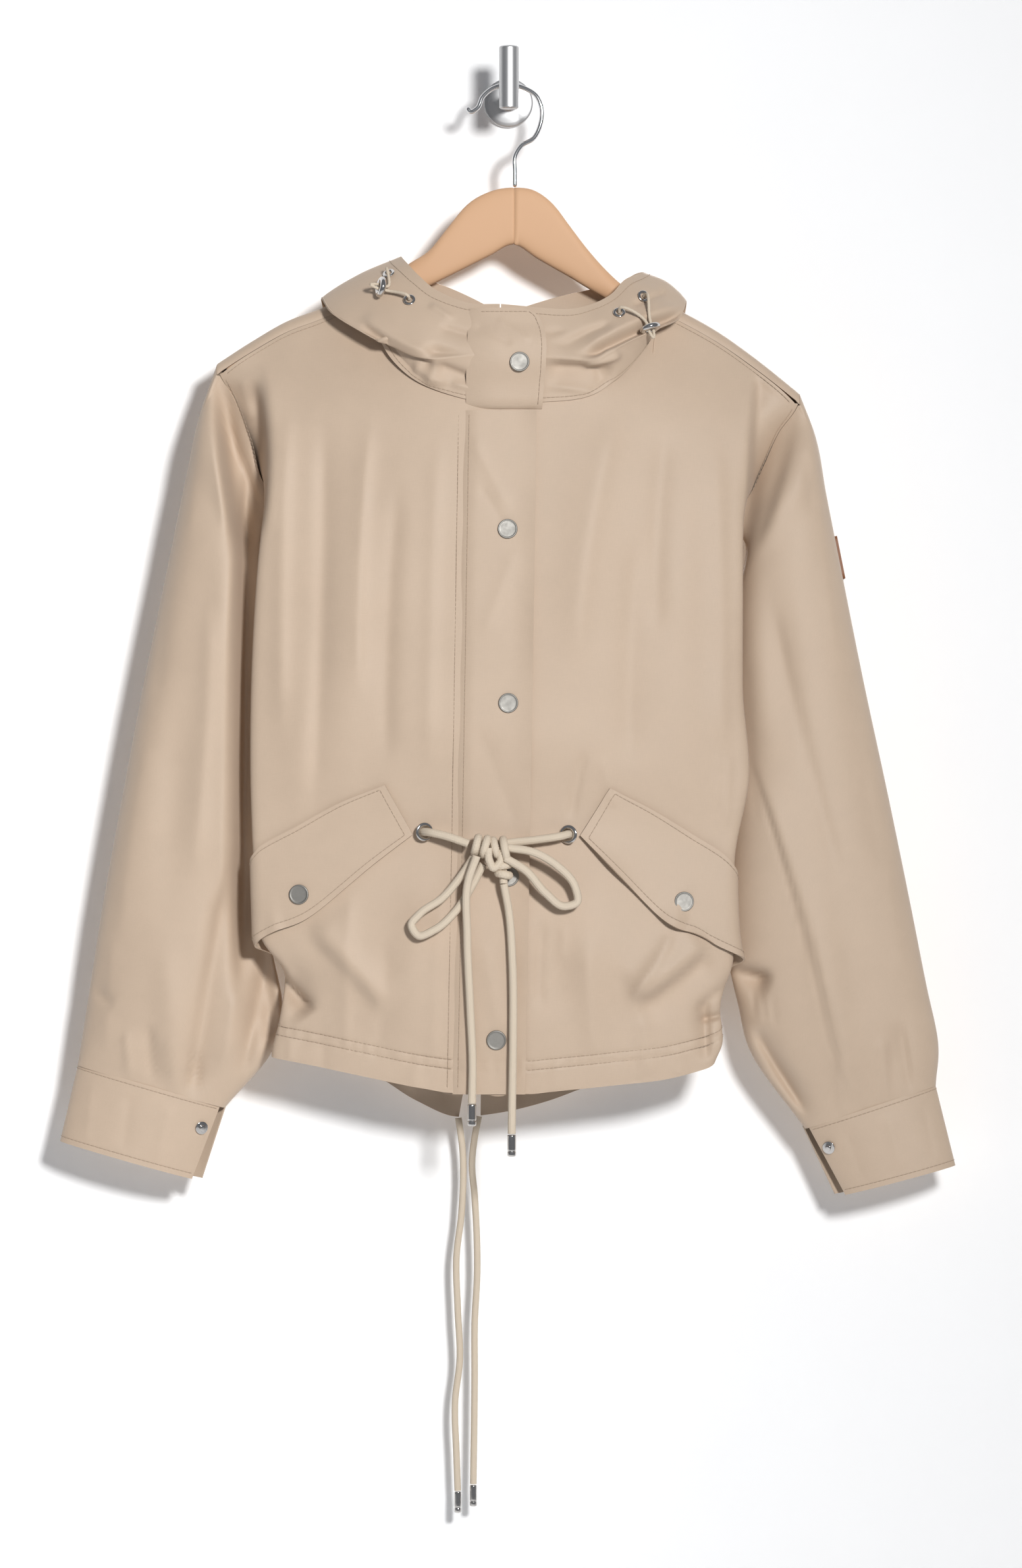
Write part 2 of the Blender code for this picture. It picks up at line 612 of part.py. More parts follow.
def back_panel(sign):
    """Flat grid of a half of the back from its middle seam to its side seam, armhole and shoulder seam."""
    side = back_side(sign, -SEAM / 2)
    over = RIDGE_ROUND * (math.pi - 1)
    tail_s = np.array([TAIL_S[0] if sign < 0 else TAIL_S[1]])
    tail = curve(BACK_HEM[:, 0], BACK_HEM[:, 1], tail_s)[0]
    wrap = RIDGE_ROUND * math.pi
    heights = (tail, BACK_WAIST, BACK_NECK_DROP - wrap, BACK_NECK_DROP)
    middle_z = rows_up(heights, (SIDE_ROWS, ARMHOLE_ROWS, SHOULDER_ROWS))
    half = curve(SPLIT[:, 0], SPLIT[:, 2], middle_z) + SEAM / 2
    middle = flat(curve(SPLIT[:, 0], SPLIT[:, 1], middle_z) + sign * half, middle_z)
    shoulder = np.linspace(neck_table(sign)[-1, 0], side[-1, 0], PANEL_ACROSS - BACK_NECK_CELLS + 1)
    top_z = ridge(shoulder) + over
    share = rows_up((0.0, BACK_NECK_TURN, 1.0), (BACK_NECK_CELLS - SHOULDER_ROWS, SHOULDER_ROWS))[:-1]
    neck_x = middle[-1, 0] + (shoulder[0] - middle[-1, 0]) * share
    turn_x = middle[-1, 0] + (shoulder[0] - middle[-1, 0]) * BACK_NECK_TURN
    dip = np.clip(1 - share / BACK_NECK_TURN, 0, 1) ** 1.5
    low = ridge(neck_x) - RIDGE_ROUND
    low = np.where(share < BACK_NECK_TURN, ridge_at(turn_x) - RIDGE_ROUND, low)
    climb = wrap * np.clip((share - BACK_NECK_TURN) / (1 - BACK_NECK_TURN), 0, 1)
    neck = flat(neck_x, low + (BACK_NECK_DROP - low) * dip + climb)
    top = np.concatenate([neck, flat(shoulder, top_z)])
    top[-1] = side[-1]
    return coons(hem_row(BACK_HEM, middle[0], side[0]), top, middle, side)


def armhole_ring(sign):
    """Ring of points past the armhole: up the front from the armpit, over the shoulder, down the back."""
    row = np.arange(SIDE_ROWS + ARMHOLE_ROWS + SHOULDER_ROWS + 1)
    climb = np.clip((row - SIDE_ROWS) / ARMHOLE_ROWS, 0, 1)
    ease = SEAM / 2 + CAP_EASE * climb ** 2
    front = front_side(sign, ease[:-SHOULDER_ROWS])[SIDE_ROWS:]
    back = back_side(sign, ease)[SIDE_ROWS:]
    front = body_front(front[:, 0], front[:, 1])
    back = body_back(back[:, 0], back[:, 1])[::-1]
    return np.concatenate([front[:-1], back[:-1]])


def sleeve(sign):
    """Sleeve surface: rings from the armhole to the cuff seam, smooth along the arm."""
    rows = LEFT_SLEEVE if sign < 0 else RIGHT_SLEEVE
    first = armhole_ring(sign)
    angle = np.linspace(0, 2 * math.pi, len(first), endpoint=False)
    along = np.cos(angle)
    along = np.sign(along) * np.abs(along) ** SLEEVE_SQUARE
    deep = np.sin(angle)
    deep = np.sign(deep) * np.abs(deep) ** SLEEVE_SQUARE
    rings = [first]
    for outer_x, outer_z, inner_x, inner_z, mid_y, half in rows:
        share = (1 - along) / 2
        rings.append(np.stack([
            inner_x + (outer_x - inner_x) * share,
            mid_y - half * deep,
            inner_z + (outer_z - inner_z) * share,
        ], axis=1))
    rings = np.array(rings)
    steps = np.linalg.norm(np.diff(rings.mean(axis=1), axis=0), axis=1)
    station = np.concatenate([[0], np.cumsum(steps)])
    share = np.linspace(0, 1, SLEEVE_ALONG + 1)
    grid = curve(station, rings.reshape(len(rings), -1), share * station[-1], False)
    grid = grid.reshape(len(share), len(first), 3)
    table = LEFT_SLEEVE_FOLDS if sign < 0 else RIGHT_SLEEVE_FOLDS
    fade = np.clip(share * 6, 0, 1) * np.clip((1 - share) * 10, 0, 1)
    lift = folds(table, grid[..., 0], grid[..., 2]) * fade[:, None]
    grid[..., 1] -= lift * np.clip(deep, 0, 1)[None]
    grid[..., 1] += 0.6 * lift * np.clip(-deep, 0, 1)[None]
    return grid


def hood(around, up):
    """Hood surface: cells round the neck, and shares from the seam over the roll to the opening edge."""
    rows = curve(np.linspace(0, 1, len(HOOD)), HOOD, np.linspace(0, 1, around + 1), False)
    seam = rows[:, 0:3]
    roll = rows[:, 3:6]
    edge = rows[:, 6:9]
    bulge = rows[:, 9:10]
    way = roll - (seam + edge) / 2
    way /= np.linalg.norm(way, axis=1, keepdims=True)
    out = (seam + roll) / 2 - np.array([HOOD_MIDDLE[0], HOOD_MIDDLE[1], 0])
    out[:, 2] = 60.0
    out -= (out * way).sum(axis=1, keepdims=True) * way
    out /= np.linalg.norm(out, axis=1, keepdims=True)
    lower = (seam + roll) / 2 - 0.2 * bulge * out
    upper = (roll + edge) / 2 + bulge * out
    round_off = np.minimum(HOOD_ROLL, bulge) * out
    under = roll + 0.16 * (lower - roll) - round_off
    above = roll + 0.16 * (upper - roll) + round_off
    rails = np.stack([seam, lower, under, roll, above, upper, edge])
    grid = curve(HOOD_RAILS, rails.reshape(len(rails), -1), np.asarray(up, float), False)
    return grid.reshape(len(grid), around + 1, 3)


def normals(grid, around=False):
    """Unit normals of a grid of points."""
    if around:
        wide = np.concatenate([grid[:, -1:], grid, grid[:, :1]], axis=1)
        second = np.gradient(wide, axis=1)[:, 1:-1]
    else:
        second = np.gradient(grid, axis=1)
    normal = np.cross(np.gradient(grid, axis=0), second)
    return normal / np.linalg.norm(normal, axis=-1, keepdims=True)


def material(name):
    """The named Principled material, made once."""
    found = bpy.data.materials.get(name)
    if found:
        return found
    colour, metal, rough = COLOURS[name]
    made = bpy.data.materials.new(name)
    made.use_nodes = True
    shader = made.node_tree.nodes["Principled BSDF"]
    shader.inputs["Base Color"].default_value = (*colour, 1.0)
    shader.inputs["Metallic"].default_value = metal
    shader.inputs["Roughness"].default_value = rough
    return made


def add_object(name, data, kind):
    """Link a new object with its material."""
    item = bpy.data.objects.new(name, data)
    data.materials.append(material(kind))
    bpy.context.scene.collection.objects.link(item)
    return item


def grid_faces(rows, columns, around):
    """Quads of a grid whose points are numbered row by row."""
    wide = columns if around else columns - 1
    r, c = np.meshgrid(np.arange(rows - 1), np.arange(wide), indexing="ij")
    here = r * columns + c
    beside = r * columns + (c + 1) % columns
    return np.stack([here, beside, beside + columns, here + columns], axis=-1).reshape(-1, 4)


def cloth(name, grid, flip=False, around=False, thick=CLOTH, kind="cloth"):
    """Cloth wall: a grid of outer points with a thickness to the inside."""
    faces = grid_faces(grid.shape[0], grid.shape[1], around)
    if flip:
        faces = faces[:, ::-1]
    mesh = bpy.data.meshes.new(name)
    mesh.from_pydata((grid.reshape(-1, 3) * MM).tolist(), [], faces.tolist())
    item = add_object(name, mesh, kind)
    wall = item.modifiers.new("wall", "SOLIDIFY")
    wall.thickness = thick * MM
    wall.offset = -1.0
    return item


def turned(name, profile, sides, kind, place=(0, 0, 0), axis=None):
    """Solid of revolution of a profile of (radius, height) rows that starts and ends on the axis."""
    angle = np.linspace(0, 2 * math.pi, sides, endpoint=False)
    rows = np.array(profile[1:-1], float)
    ring = np.stack([
        rows[:, :1] * np.cos(angle),
        rows[:, :1] * np.sin(angle),
        np.broadcast_to(rows[:, 1:], (len(rows), sides)),
    ], axis=-1)
    points = np.concatenate([ring.reshape(-1, 3), [(0, 0, profile[0][1]), (0, 0, profile[-1][1])]])
    faces = grid_faces(len(rows), sides, True).tolist()
    low = len(points) - 2
    last = (len(rows) - 1) * sides
    for k in range(sides):
        after = (k + 1) % sides
        faces.append([low, after, k])
        faces.append([low + 1, last + k, last + after])
    return placed(name, points, faces, kind, place, axis)


def ring(name, major, minor, kind, place, axis, sides=12, round_sides=5, squash=0.6):
    """Eyelet: a torus pressed flat along its axis."""
    a = np.linspace(0, 2 * math.pi, sides, endpoint=False)
    b = np.linspace(0, 2 * math.pi, round_sides, endpoint=False)
    a, b = np.meshgrid(a, b, indexing="ij")
    reach = major + minor * np.cos(b)
    points = np.stack([reach * np.cos(a), reach * np.sin(a), minor * squash * np.sin(b)], axis=-1)
    faces = grid_faces(sides + 1, round_sides, True)[:, ::-1] % (sides * round_sides)
    return placed(name, points.reshape(-1, 3), faces.tolist(), kind, place, axis)


def placed(name, points, faces, kind, place=(0, 0, 0), axis=None):
    """Object from points about the origin, put at a place with its own Z along the axis."""
    mesh = bpy.data.meshes.new(name)
    mesh.from_pydata((np.asarray(points) * MM).tolist(), [], faces)
    item = add_object(name, mesh, kind)
    item.location = Vector(place) * MM
    if axis is not None:
        item.rotation_mode = "QUATERNION"
        item.rotation_quaternion = Vector(axis).to_track_quat("Z", "Y")
    return item


def cord(name, points, diameter, kind, count, resolution=2):
    """Round cord along a smooth line through the given points."""
    route = path(points, count) * MM
    data = bpy.data.curves.new(name, "CURVE")
    data.dimensions = "3D"
    data.bevel_depth = diameter * MM / 2
    data.bevel_resolution = resolution
    data.use_fill_caps = True
    spline = data.splines.new("POLY")
    spline.points.add(count - 1)
    for point, place in zip(spline.points, route):
        point.co = (*place, 1.0)
    return add_object(name, data, kind)


def on_front(points):
    """Route of (x, z, lift) rows set out from the front's outer face."""
    rows = np.array(points, float)
    route = body_front(rows[:, 0], np.maximum(rows[:, 1], -760))
    route[:, 1] -= rows[:, 2]
    route[:, 2] = rows[:, 1]
    return route


def front_spot(x, z, lift):
    """Place lifted off the front at (x, z) and the front's outward direction there."""
    step = 4.0
    here, right, up = body_front(np.array([x, x + step, x]), np.array([z, z, z + step]))
    out = np.cross(right - here, up - here)
    out /= np.linalg.norm(out)
    return here + out * lift, out


def hood_spot(x, z, lift):
    """Place lifted off the hood's outer layer where it is seen at (x, z), and the way out there."""
    grid = hood(400, np.linspace(0.45, 1, 60))
    out = normals(grid)
    near = np.hypot(grid[..., 0] - x, grid[..., 2] - z) + 200 * (grid[..., 1] > RIDGE_Y)
    row, column = np.unravel_index(np.argmin(near), near.shape)
    return grid[row, column] + out[row, column] * lift, out[row, column]


def build_body():
    """Fronts, backs, sleeves, cuffs and hood."""
    for sign, side in ((-1, "left"), (1, "right")):
        panel = front_panel(sign)
        cloth("front_" + side, body_front(panel[..., 0], panel[..., 1]), flip=sign > 0)
        panel = back_panel(sign)
        cloth("back_" + side, body_back(panel[..., 0], panel[..., 1]), flip=sign < 0)
        cloth("sleeve_" + side, sleeve(sign), flip=sign > 0, around=True)
        build_cuff(sign, side)
    cloth("hood", hood(HOOD_AROUND, HOOD_UP), flip=True)


def build_cuff(sign, side):
    """Cuff band round the sleeve's end, open at the inner side, with its stud."""
    rows = LEFT_CUFF if sign < 0 else RIGHT_CUFF
    angle = np.linspace(CUFF_OPEN, 2 * math.pi - CUFF_OPEN, 21)
    share = (1 - np.cos(angle)) / 2
    row = rows[0] + (rows[1] - rows[0]) * np.linspace(0, 1, 4)[:, None]
    grid = np.stack([
        row[:, 2:3] + (row[:, 0:1] - row[:, 2:3]) * share,
        CUFF_Y - row[:, 4:5] * np.sin(angle),
        row[:, 3:4] + (row[:, 1:2] - row[:, 3:4]) * share,
    ], axis=-1)
    cloth("cuff_" + side, grid, flip=sign > 0, thick=PLACKET_CLOTH)
    out = normals(grid)[STUD_AT] * sign
    stud = ((0, 0), (STUD_RADIUS, 0), (STUD_RADIUS, 0.8), (2.2, 1.1), (2.4, 3.0), (0, 3.2))
    turned("cuff_stud_" + side, stud, 14, "nickel", grid[STUD_AT] + out * STUD_LIFT, out)


def snap(name, place, out):
    """Snap cap standing on a place."""
    cap = (
        (0, 0), (SNAP_RADIUS - 0.4, 0), (SNAP_RADIUS, 0.6), (SNAP_RADIUS - 0.5, SNAP_HEIGHT - 0.4),
        (SNAP_RADIUS - 1.6, SNAP_HEIGHT), (0, SNAP_HEIGHT - 0.2),
    )
    turned(name, cap, 14, "nickel", place, out)


def build_placket():
    """Placket strip on the front, collar tab on the hood's stand, and their snaps."""
    z = np.linspace(*PLACKET_ENDS, 20)[:, None]
    s = curve(OPENING[:, 0], OPENING[:, 1], z) + np.linspace(-PLACKET_HALF, PLACKET_HALF, 4)[None]
    grid = body_front(*np.broadcast_arrays(s, z))
    grid[..., 1] -= PLACKET_LIFT + PLACKET_CLOTH
    cloth("placket", grid, thick=PLACKET_CLOTH)
    for name, x, place_z in FRONT_SNAPS:
        snap(name, *front_spot(x, place_z, PLACKET_LIFT + PLACKET_CLOTH + 2 * GAP))
    tab_rows = np.linspace(TAB[0, 0], TAB[-1, 0], 12)
    row = curve(TAB[:, 0], TAB[:, 1:], tab_rows, False)
    share = np.linspace(0, 1, 4)[None]
    x = row[:, 1:2] + (row[:, 2:3] - row[:, 1:2]) * share
    y = np.broadcast_to(row[:, :1], x.shape)
    tab_z = np.broadcast_to(tab_rows[:, None], x.shape)
    cloth("collar_tab", np.stack([x, y, tab_z], axis=-1), thick=PLACKET_CLOTH)
    tab_y = curve(TAB[:, 0], TAB[:, 1], np.array([TAB_SNAP[1]]))[0]
    snap("snap_neck", (TAB_SNAP[0], tab_y - 2 * GAP, TAB_SNAP[1]), (0, -1, 0.05))


def build_flaps():
    """Pocket flaps lying on the fronts, round the side folds, and their snaps."""
    for sign, name, rows in ((-1, "left", LEFT_FLAP), (1, "right", RIGHT_FLAP)):
        row = curve(np.linspace(0, 1, len(rows)), rows, np.linspace(0, 1, FLAP_CELLS[0] + 1), False)
        drop = np.linspace(0, 1, FLAP_CELLS[1] + 1)[:, None]
        s = row[:, 0] + (row[:, 2] - row[:, 0]) * drop
        z = row[:, 1] + (row[:, 3] - row[:, 1]) * drop
        grid = body_front(s, z)
        lift = FLAP_LIFT[0] + (FLAP_LIFT[1] - FLAP_LIFT[0]) * drop
        grid = grid + normals(grid) * sign * (lift + PLACKET_CLOTH)[..., None]
        cloth("flap_" + name, grid, flip=sign > 0, thick=PLACKET_CLOTH)
    for name, x, z in FLAP_SNAPS:
        snap(name, *front_spot(x, z, FLAP_LIFT[1] + PLACKET_CLOTH + GAP))


def lump(name, place, half, kind):
    """Egg-shaped knot."""
    turn = np.linspace(-math.pi / 2, math.pi / 2, 8)
    item = turned(name, list(zip(np.cos(turn), np.sin(turn))), 12, kind)
    points = np.array([tuple(vertex.co) for vertex in item.data.vertices]) / MM
    points = points * np.array(half) + np.array(place)
    item.data.vertices.foreach_set("co", (points * MM).ravel())
    return item


def tip(name, cord_end, radius):
    """Metal tip hanging just below a cord's end."""
    x, y, z = cord_end
    profile = (
        (0, -TIP_LENGTH), (radius - 0.5, -TIP_LENGTH), (radius, 0.6 - TIP_LENGTH), (radius, -0.4), (0, -0.4),
    )
    turned(name, profile, 12, "nickel", (x, y, z - GAP + 0.1))


def build_waist():
    """Waist eyelets, and the drawcord tied in a bow in front of the placket."""
    for side, lead, lean in (("left", LEFT_LEAD, EYELET_TILT), ("right", RIGHT_LEAD, -EYELET_TILT)):
        place, out = front_spot(lead[1][0], lead[1][1], EYELET_LIFT)
        ring("eyelet_waist_" + side, *WAIST_EYELET, "nickel", place, out + np.array([lean, 0, 0]))
        cord("cord_lead_" + side, on_front(lead), WAIST_CORD, "cord", 9)
    lump("cord_knot", on_front([KNOT])[0], KNOT_HALF, "cord")
    lump("cord_stopper", on_front([STOPPER])[0], STOPPER_HALF, "cord")
    cord("cord_loop_left", on_front(LEFT_LOOP), WAIST_CORD, "cord", 18)
    cord("cord_loop_right", on_front(RIGHT_LOOP), WAIST_CORD, "cord", 18)
    for side, tail in (("left", LEFT_TAIL), ("right", RIGHT_TAIL)):
        route = on_front(tail)
        cord("cord_tail_" + side, route, WAIST_CORD, "cord", 14)
        tip("cord_tip_" + side, route[-1], WAIST_CORD / 2 + 0.1)


def build_hem_cords():
    """Hem drawcord ends hanging from the split of the back."""
    for side, rows in (("left", LEFT_HEM_CORD), ("right", RIGHT_HEM_CORD)):
        rows = np.array(rows, float)
        route = np.stack([rows[:, 0], np.full(len(rows), HEM_Y), rows[:, 1]], axis=1)
        cord("hem_cord_" + side, route, HEM_CORD, "cord", 20)
        tip("hem_tip_" + side, route[-1], HEM_CORD / 2 + 0.1)


def build_hood_cords():
    """Hood eyelets, cord locks and the elastic looped through them."""
    for side, row in (("left", LEFT_LOCK), ("right", RIGHT_LOCK)):
        way = np.array(row[3], float)
        way /= np.linalg.norm(way)
        centre, out = hood_spot(*row[2], LOCK_LIFT)
        across = np.cross(way, out)
        across /= np.linalg.norm(across)
        ends = []
        for name, spot in zip(("upper", "lower"), row[:2]):
            place, up = hood_spot(*spot, HOOD_EYELET[1] * 0.6 + 2 * GAP)
            ring("eyelet_hood_%s_%s" % (side, name), *HOOD_EYELET, "nickel", place, up, 10, 5)
            ends.append((place, up))
        aim = np.sign(np.dot(ends[0][0] - ends[1][0], across)) * across * STRAND
        start, start_up = ends[0]
        end, end_up = ends[1]
        route = [
            start - start_up * ELASTIC_SEAT, start + start_up * ELASTIC_RISE, centre - way * 5 + aim,
            centre + way * 3 + aim, centre + way * 8, centre + way * 3 - aim,
            centre - way * 5 - aim, end + end_up * ELASTIC_RISE, end - end_up * ELASTIC_SEAT,
        ]
        ring("cord_lock_" + side, *LOCK_RING, "nickel", centre, way, 12, 6, 1.0)
        cord("hood_elastic_" + side, route, ELASTIC, "cord", 22)


def build_patch():
    """Leather patch on the outer edge of the right sleeve."""
    grid = sleeve(1)
    grid = grid + normals(grid, True) * (PATCH_THICK + 2 * GAP)
    part = grid[PATCH_ROWS[0]:PATCH_ROWS[1], PATCH_COLUMNS[0]:PATCH_COLUMNS[1]]
    cloth("sleeve_patch", part, flip=True, thick=PATCH_THICK, kind="leather")


def build_holder():
    """Wooden hanger, its wire hook, and the wall hook it hangs on."""
    angle = np.linspace(0, 2 * math.pi, 12, endpoint=False)
    x, top, bottom, half = (HANGER[:, k:k + 1] for k in range(4))
    square = curve(HANGER_SQUARE[:, 0], HANGER_SQUARE[:, 1], x)
    across = np.sign(np.cos(angle)) * np.abs(np.cos(angle)) ** square
    up = np.sign(np.sin(angle)) * np.abs(np.sin(angle)) ** square
    y = RIDGE_Y + half * across
    z = (top + bottom) / 2 + (top - bottom) / 2 * up
    points = np.stack([np.broadcast_to(x, y.shape), y, z], axis=-1)
    count = len(angle)
    faces = grid_faces(len(HANGER), count, True).tolist()
    faces.append(list(range(count))[::-1])
    faces.append(list(range((len(HANGER) - 1) * count, len(HANGER) * count)))
    placed("hanger", points.reshape(-1, 3), faces, "wood")
    route = np.stack([HOOK_ROUTE[:, 0], np.full(len(HOOK_ROUTE), RIDGE_Y), HOOK_ROUTE[:, 1]], axis=1)
    cord("hanger_hook", route, HOOK_WIRE, "chrome", 32)
    plate = (
        (0, 0), (PLATE_RADIUS, 0), (PLATE_RADIUS, PLATE_THICK - 1.2), (PLATE_RADIUS - 1.2, PLATE_THICK),
        (POST_RADIUS, PLATE_THICK), (POST_RADIUS, -POST_END), (0, -POST_END),
    )
    turned("wall_plate", plate, 24, "steel", (0, 0, 0), (0, -1, 0))
    bar = (
        (0, BAR_BOTTOM), (BAR_RADIUS - 0.8, BAR_BOTTOM), (BAR_RADIUS, BAR_BOTTOM + 0.8),
        (BAR_RADIUS, BAR_TOP - 0.8), (BAR_RADIUS - 0.8, BAR_TOP), (0, BAR_TOP),
    )
    turned("wall_bar", bar, 20, "steel", (0.5, POST_END - GAP - BAR_RADIUS, 0))


def build():
    """Make every object."""
    for item in list(bpy.data.objects):
        bpy.data.objects.remove(item, do_unlink=True)
    build_body()
    build_placket()
    build_flaps()
    build_waist()
    build_hem_cords()
    build_hood_cords()
    build_patch()
    build_holder()


build()
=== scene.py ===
"""Looks of a cropped hooded jacket on its wooden hanger and wall hook.

Shape tables are in millimetres in the part's own frame: the origin is the centre of the wall plate's
back face, +Z is up and the front faces -Y.  Left and right are the viewer's.  Each cloth piece is a
smooth surface on a fine grid, with creases laid on it one by one, given a wall and closed round its rim.
"""

import math

import bpy
import numpy as np
from bpy.props import FloatProperty, FloatVectorProperty, PointerProperty
from bpy.types import Operator, Panel, PropertyGroup
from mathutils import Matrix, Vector


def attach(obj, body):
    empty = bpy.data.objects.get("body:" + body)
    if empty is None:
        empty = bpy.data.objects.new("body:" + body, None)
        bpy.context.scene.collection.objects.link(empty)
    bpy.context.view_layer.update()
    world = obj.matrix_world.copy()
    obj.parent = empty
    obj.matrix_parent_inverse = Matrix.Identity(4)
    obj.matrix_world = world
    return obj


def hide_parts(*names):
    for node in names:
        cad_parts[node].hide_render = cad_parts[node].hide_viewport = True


bl_info = {
    "name": "Cropped hooded jacket",
    "version": (1, 0, 0),
    "blender": (4, 5, 0),
    "location": "View3D > Sidebar > Jacket",
    "description": "Dresses the packed jacket with cloth, cords, metal trim and a stage",
    "category": "Object",
}

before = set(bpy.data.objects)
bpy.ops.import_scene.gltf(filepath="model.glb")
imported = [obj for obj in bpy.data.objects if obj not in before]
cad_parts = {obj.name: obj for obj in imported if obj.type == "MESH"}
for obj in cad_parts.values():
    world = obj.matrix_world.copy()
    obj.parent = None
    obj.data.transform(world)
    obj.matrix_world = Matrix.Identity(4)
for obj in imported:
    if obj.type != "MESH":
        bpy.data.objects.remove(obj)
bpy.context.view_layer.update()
BODY = "root"
MM = 0.001
SIDES = ((-1, "left"), (1, "right"))
COLOUR = {"size": 3, "subtype": "COLOR", "min": 0, "max": 1}

CLOTH = 1.2
PLACKET_CLOTH = 1.6
PLACKET_LIFT = 0.8
PLACKET_HALF = 27.5
PLACKET_ENDS = (-760.5, -243.6)
PLACKET_ROLL = 12.0
PLACKET_FREE = 10.0
PLACKET_STAND = 2.0
PLACKET_SUNK = 0.2
GAP = 0.3
SEAM = 0.15

# Hanging plane and shoulder
RIDGE_Y = -58.0
RIDGE_ROUND = 9.0
RIDGE_LEAN = 0.45
SOFT = 5.0
CORNER = 12.0

# Grid sizes: cells across, cells up
PANEL_ACROSS = 90
SIDE_ROWS = 126
HEM_ROWS = 36
HEM_DEEP = 34.0
ARMHOLE_ROWS = 66
SHOULDER_ROWS = 14
NECK_CELLS = 46
BACK_NECK_CELLS = 54
SLEEVE_ALONG = 134
HOOD_AROUND = 204
HOOD_UP = 74

# Snaps, eyelets and cords
WAIST_EYELET = (5.6, 1.6)
HOOD_EYELET = (3.6, 1.1)
EYELET_TILT = 0.5
EYELET_LIFT = 4.4
EYELET_SQUASH = 0.6
WAIST_CORD = 6.5
HEM_CORD = 5.5
ELASTIC = 2.6

# Half outlines of the body, one row per height: z, distance of the front fold from the middle line,
# turn of the side at the fold in degrees, run of the side from the fold to its seam
LEFT_SIDE = np.array([
    (-800, 184, 122, 38), (-733, 184, 122, 38), (-705, 178, 120, 38), (-672, 174, 120, 38),
    (-640, 193, 124, 40), (-580, 198, 124, 40), (-500, 200, 122, 40), (-417, 198, 122, 40),
    (-338, 192, 120, 40), (-315, 189, 112, 39), (-293, 186, 86, 37), (-262, 183, 64, 34),
    (-231, 187, 42, 31), (-214, 188, 20, 34), (-190, 188, 0, 36), (-100, 188, 0, 36),
], float)
RIGHT_SIDE = np.array([
    (-800, 158, 122, 38), (-742, 160, 122, 38), (-720, 167, 122, 38), (-696, 165, 120, 38),
    (-657, 175, 122, 39), (-586, 176, 124, 40), (-516, 187, 122, 40), (-450, 182, 122, 40),
    (-348, 182, 120, 40), (-325, 182, 112, 39), (-305, 182, 86, 37), (-283, 183, 70, 35),
    (-259, 184, 50, 34), (-238, 186, 22, 37), (-205, 187, 0, 39), (-100, 187, 0, 39),
], float)

# Depth from the hanging plane by height: z, front middle, front fold, back
DEPTH = np.array([
    (-800, 50, 34, 36), (-761, 52, 34, 36), (-700, 58, 36, 34), (-640, 62, 40, 33), (-563, 58, 40, 31),
    (-480, 66, 42, 31), (-400, 66, 42, 30), (-330, 62, 40, 28), (-260, 54, 34, 25), (-200, 46, 28, 22),
    (-100, 40, 24, 20),
], float)

# Shoulder ridge: distance from the middle line, z
LEFT_RIDGE = np.array([
    (0, -90), (60, -117), (76, -127), (90, -137.5), (110, -148), (144, -163), (169, -172.5), (196, -188),
    (226, -207.5),
], float)
RIGHT_RIDGE = np.array([
    (0, -90), (60, -116), (83, -138.5), (108, -153), (135, -166.5), (159, -180), (190, -202), (226, -231),
], float)

# Back edge of the armholes: z, distance from the middle line, depth behind the hanging plane
LEFT_ARMHOLE = np.array([
    (-315, 174.4, -2.6), (-293, 193, 12), (-262, 204, 17), (-231, 216, 14), (-214, 222, 9),
    (-100, 222, 9),
], float)
RIGHT_ARMHOLE = np.array([
    (-325, 167.4, -3.2), (-305, 188, 12), (-283, 200, 16), (-255, 215, 14), (-238, 222, 9),
    (-100, 222, 9),
], float)
BACK_INSET = 28.0
SHOULDER_X = 221.0
CAP_EASE = 0.3
NECK_UNDER = 4.0

# Neck seam from the front middle to the shoulder: x, z
LEFT_NECK = np.array([
    (-6, -240), (-30, -236), (-53, -230), (-76, -218), (-94, -197), (-101, -180), (-106, -149.5),
], float)
RIGHT_NECK = np.array([
    (-6, -240), (26, -240), (54, -235.5), (80, -222), (97, -206), (110, -186), (113, -162),
], float)
FRONT_LOW = -761.0
BACK_WAIST = -330.0
BACK_NECK_DROP = -166.0
BACK_NECK_TURN = 0.72

# Front opening's line under the placket: z, x
OPENING = np.array([(-800, -15.5), (-500, -10), (-240, -6), (-100, -4)], float)

# Middle line of the back and half the width of its split: z, x, half
SPLIT = np.array([
    (-790, -30.5, 9), (-745, -26.5, 5), (-700, -23.5, 0), (-400, -11.5, 0), (-150, -4, 0),
], float)

# Hems: s, z
FRONT_HEM = np.array([
    (-240, -729), (-184, -733), (-150, -739), (-111, -747), (-60, -757), (-20, -761), (0, -761),
    (40, -758), (80, -754), (123, -749), (150, -742), (180, -732), (215, -727),
], float)
BACK_HEM = np.array([
    (-240, -729), (-190, -732), (-140, -740), (-103, -750), (-70, -770), (-38, -782), (-22, -781),
    (30, -770), (60, -759), (100, -746), (150, -735), (215, -727),
], float)
TAIL_S = (-38.0, -22.0)

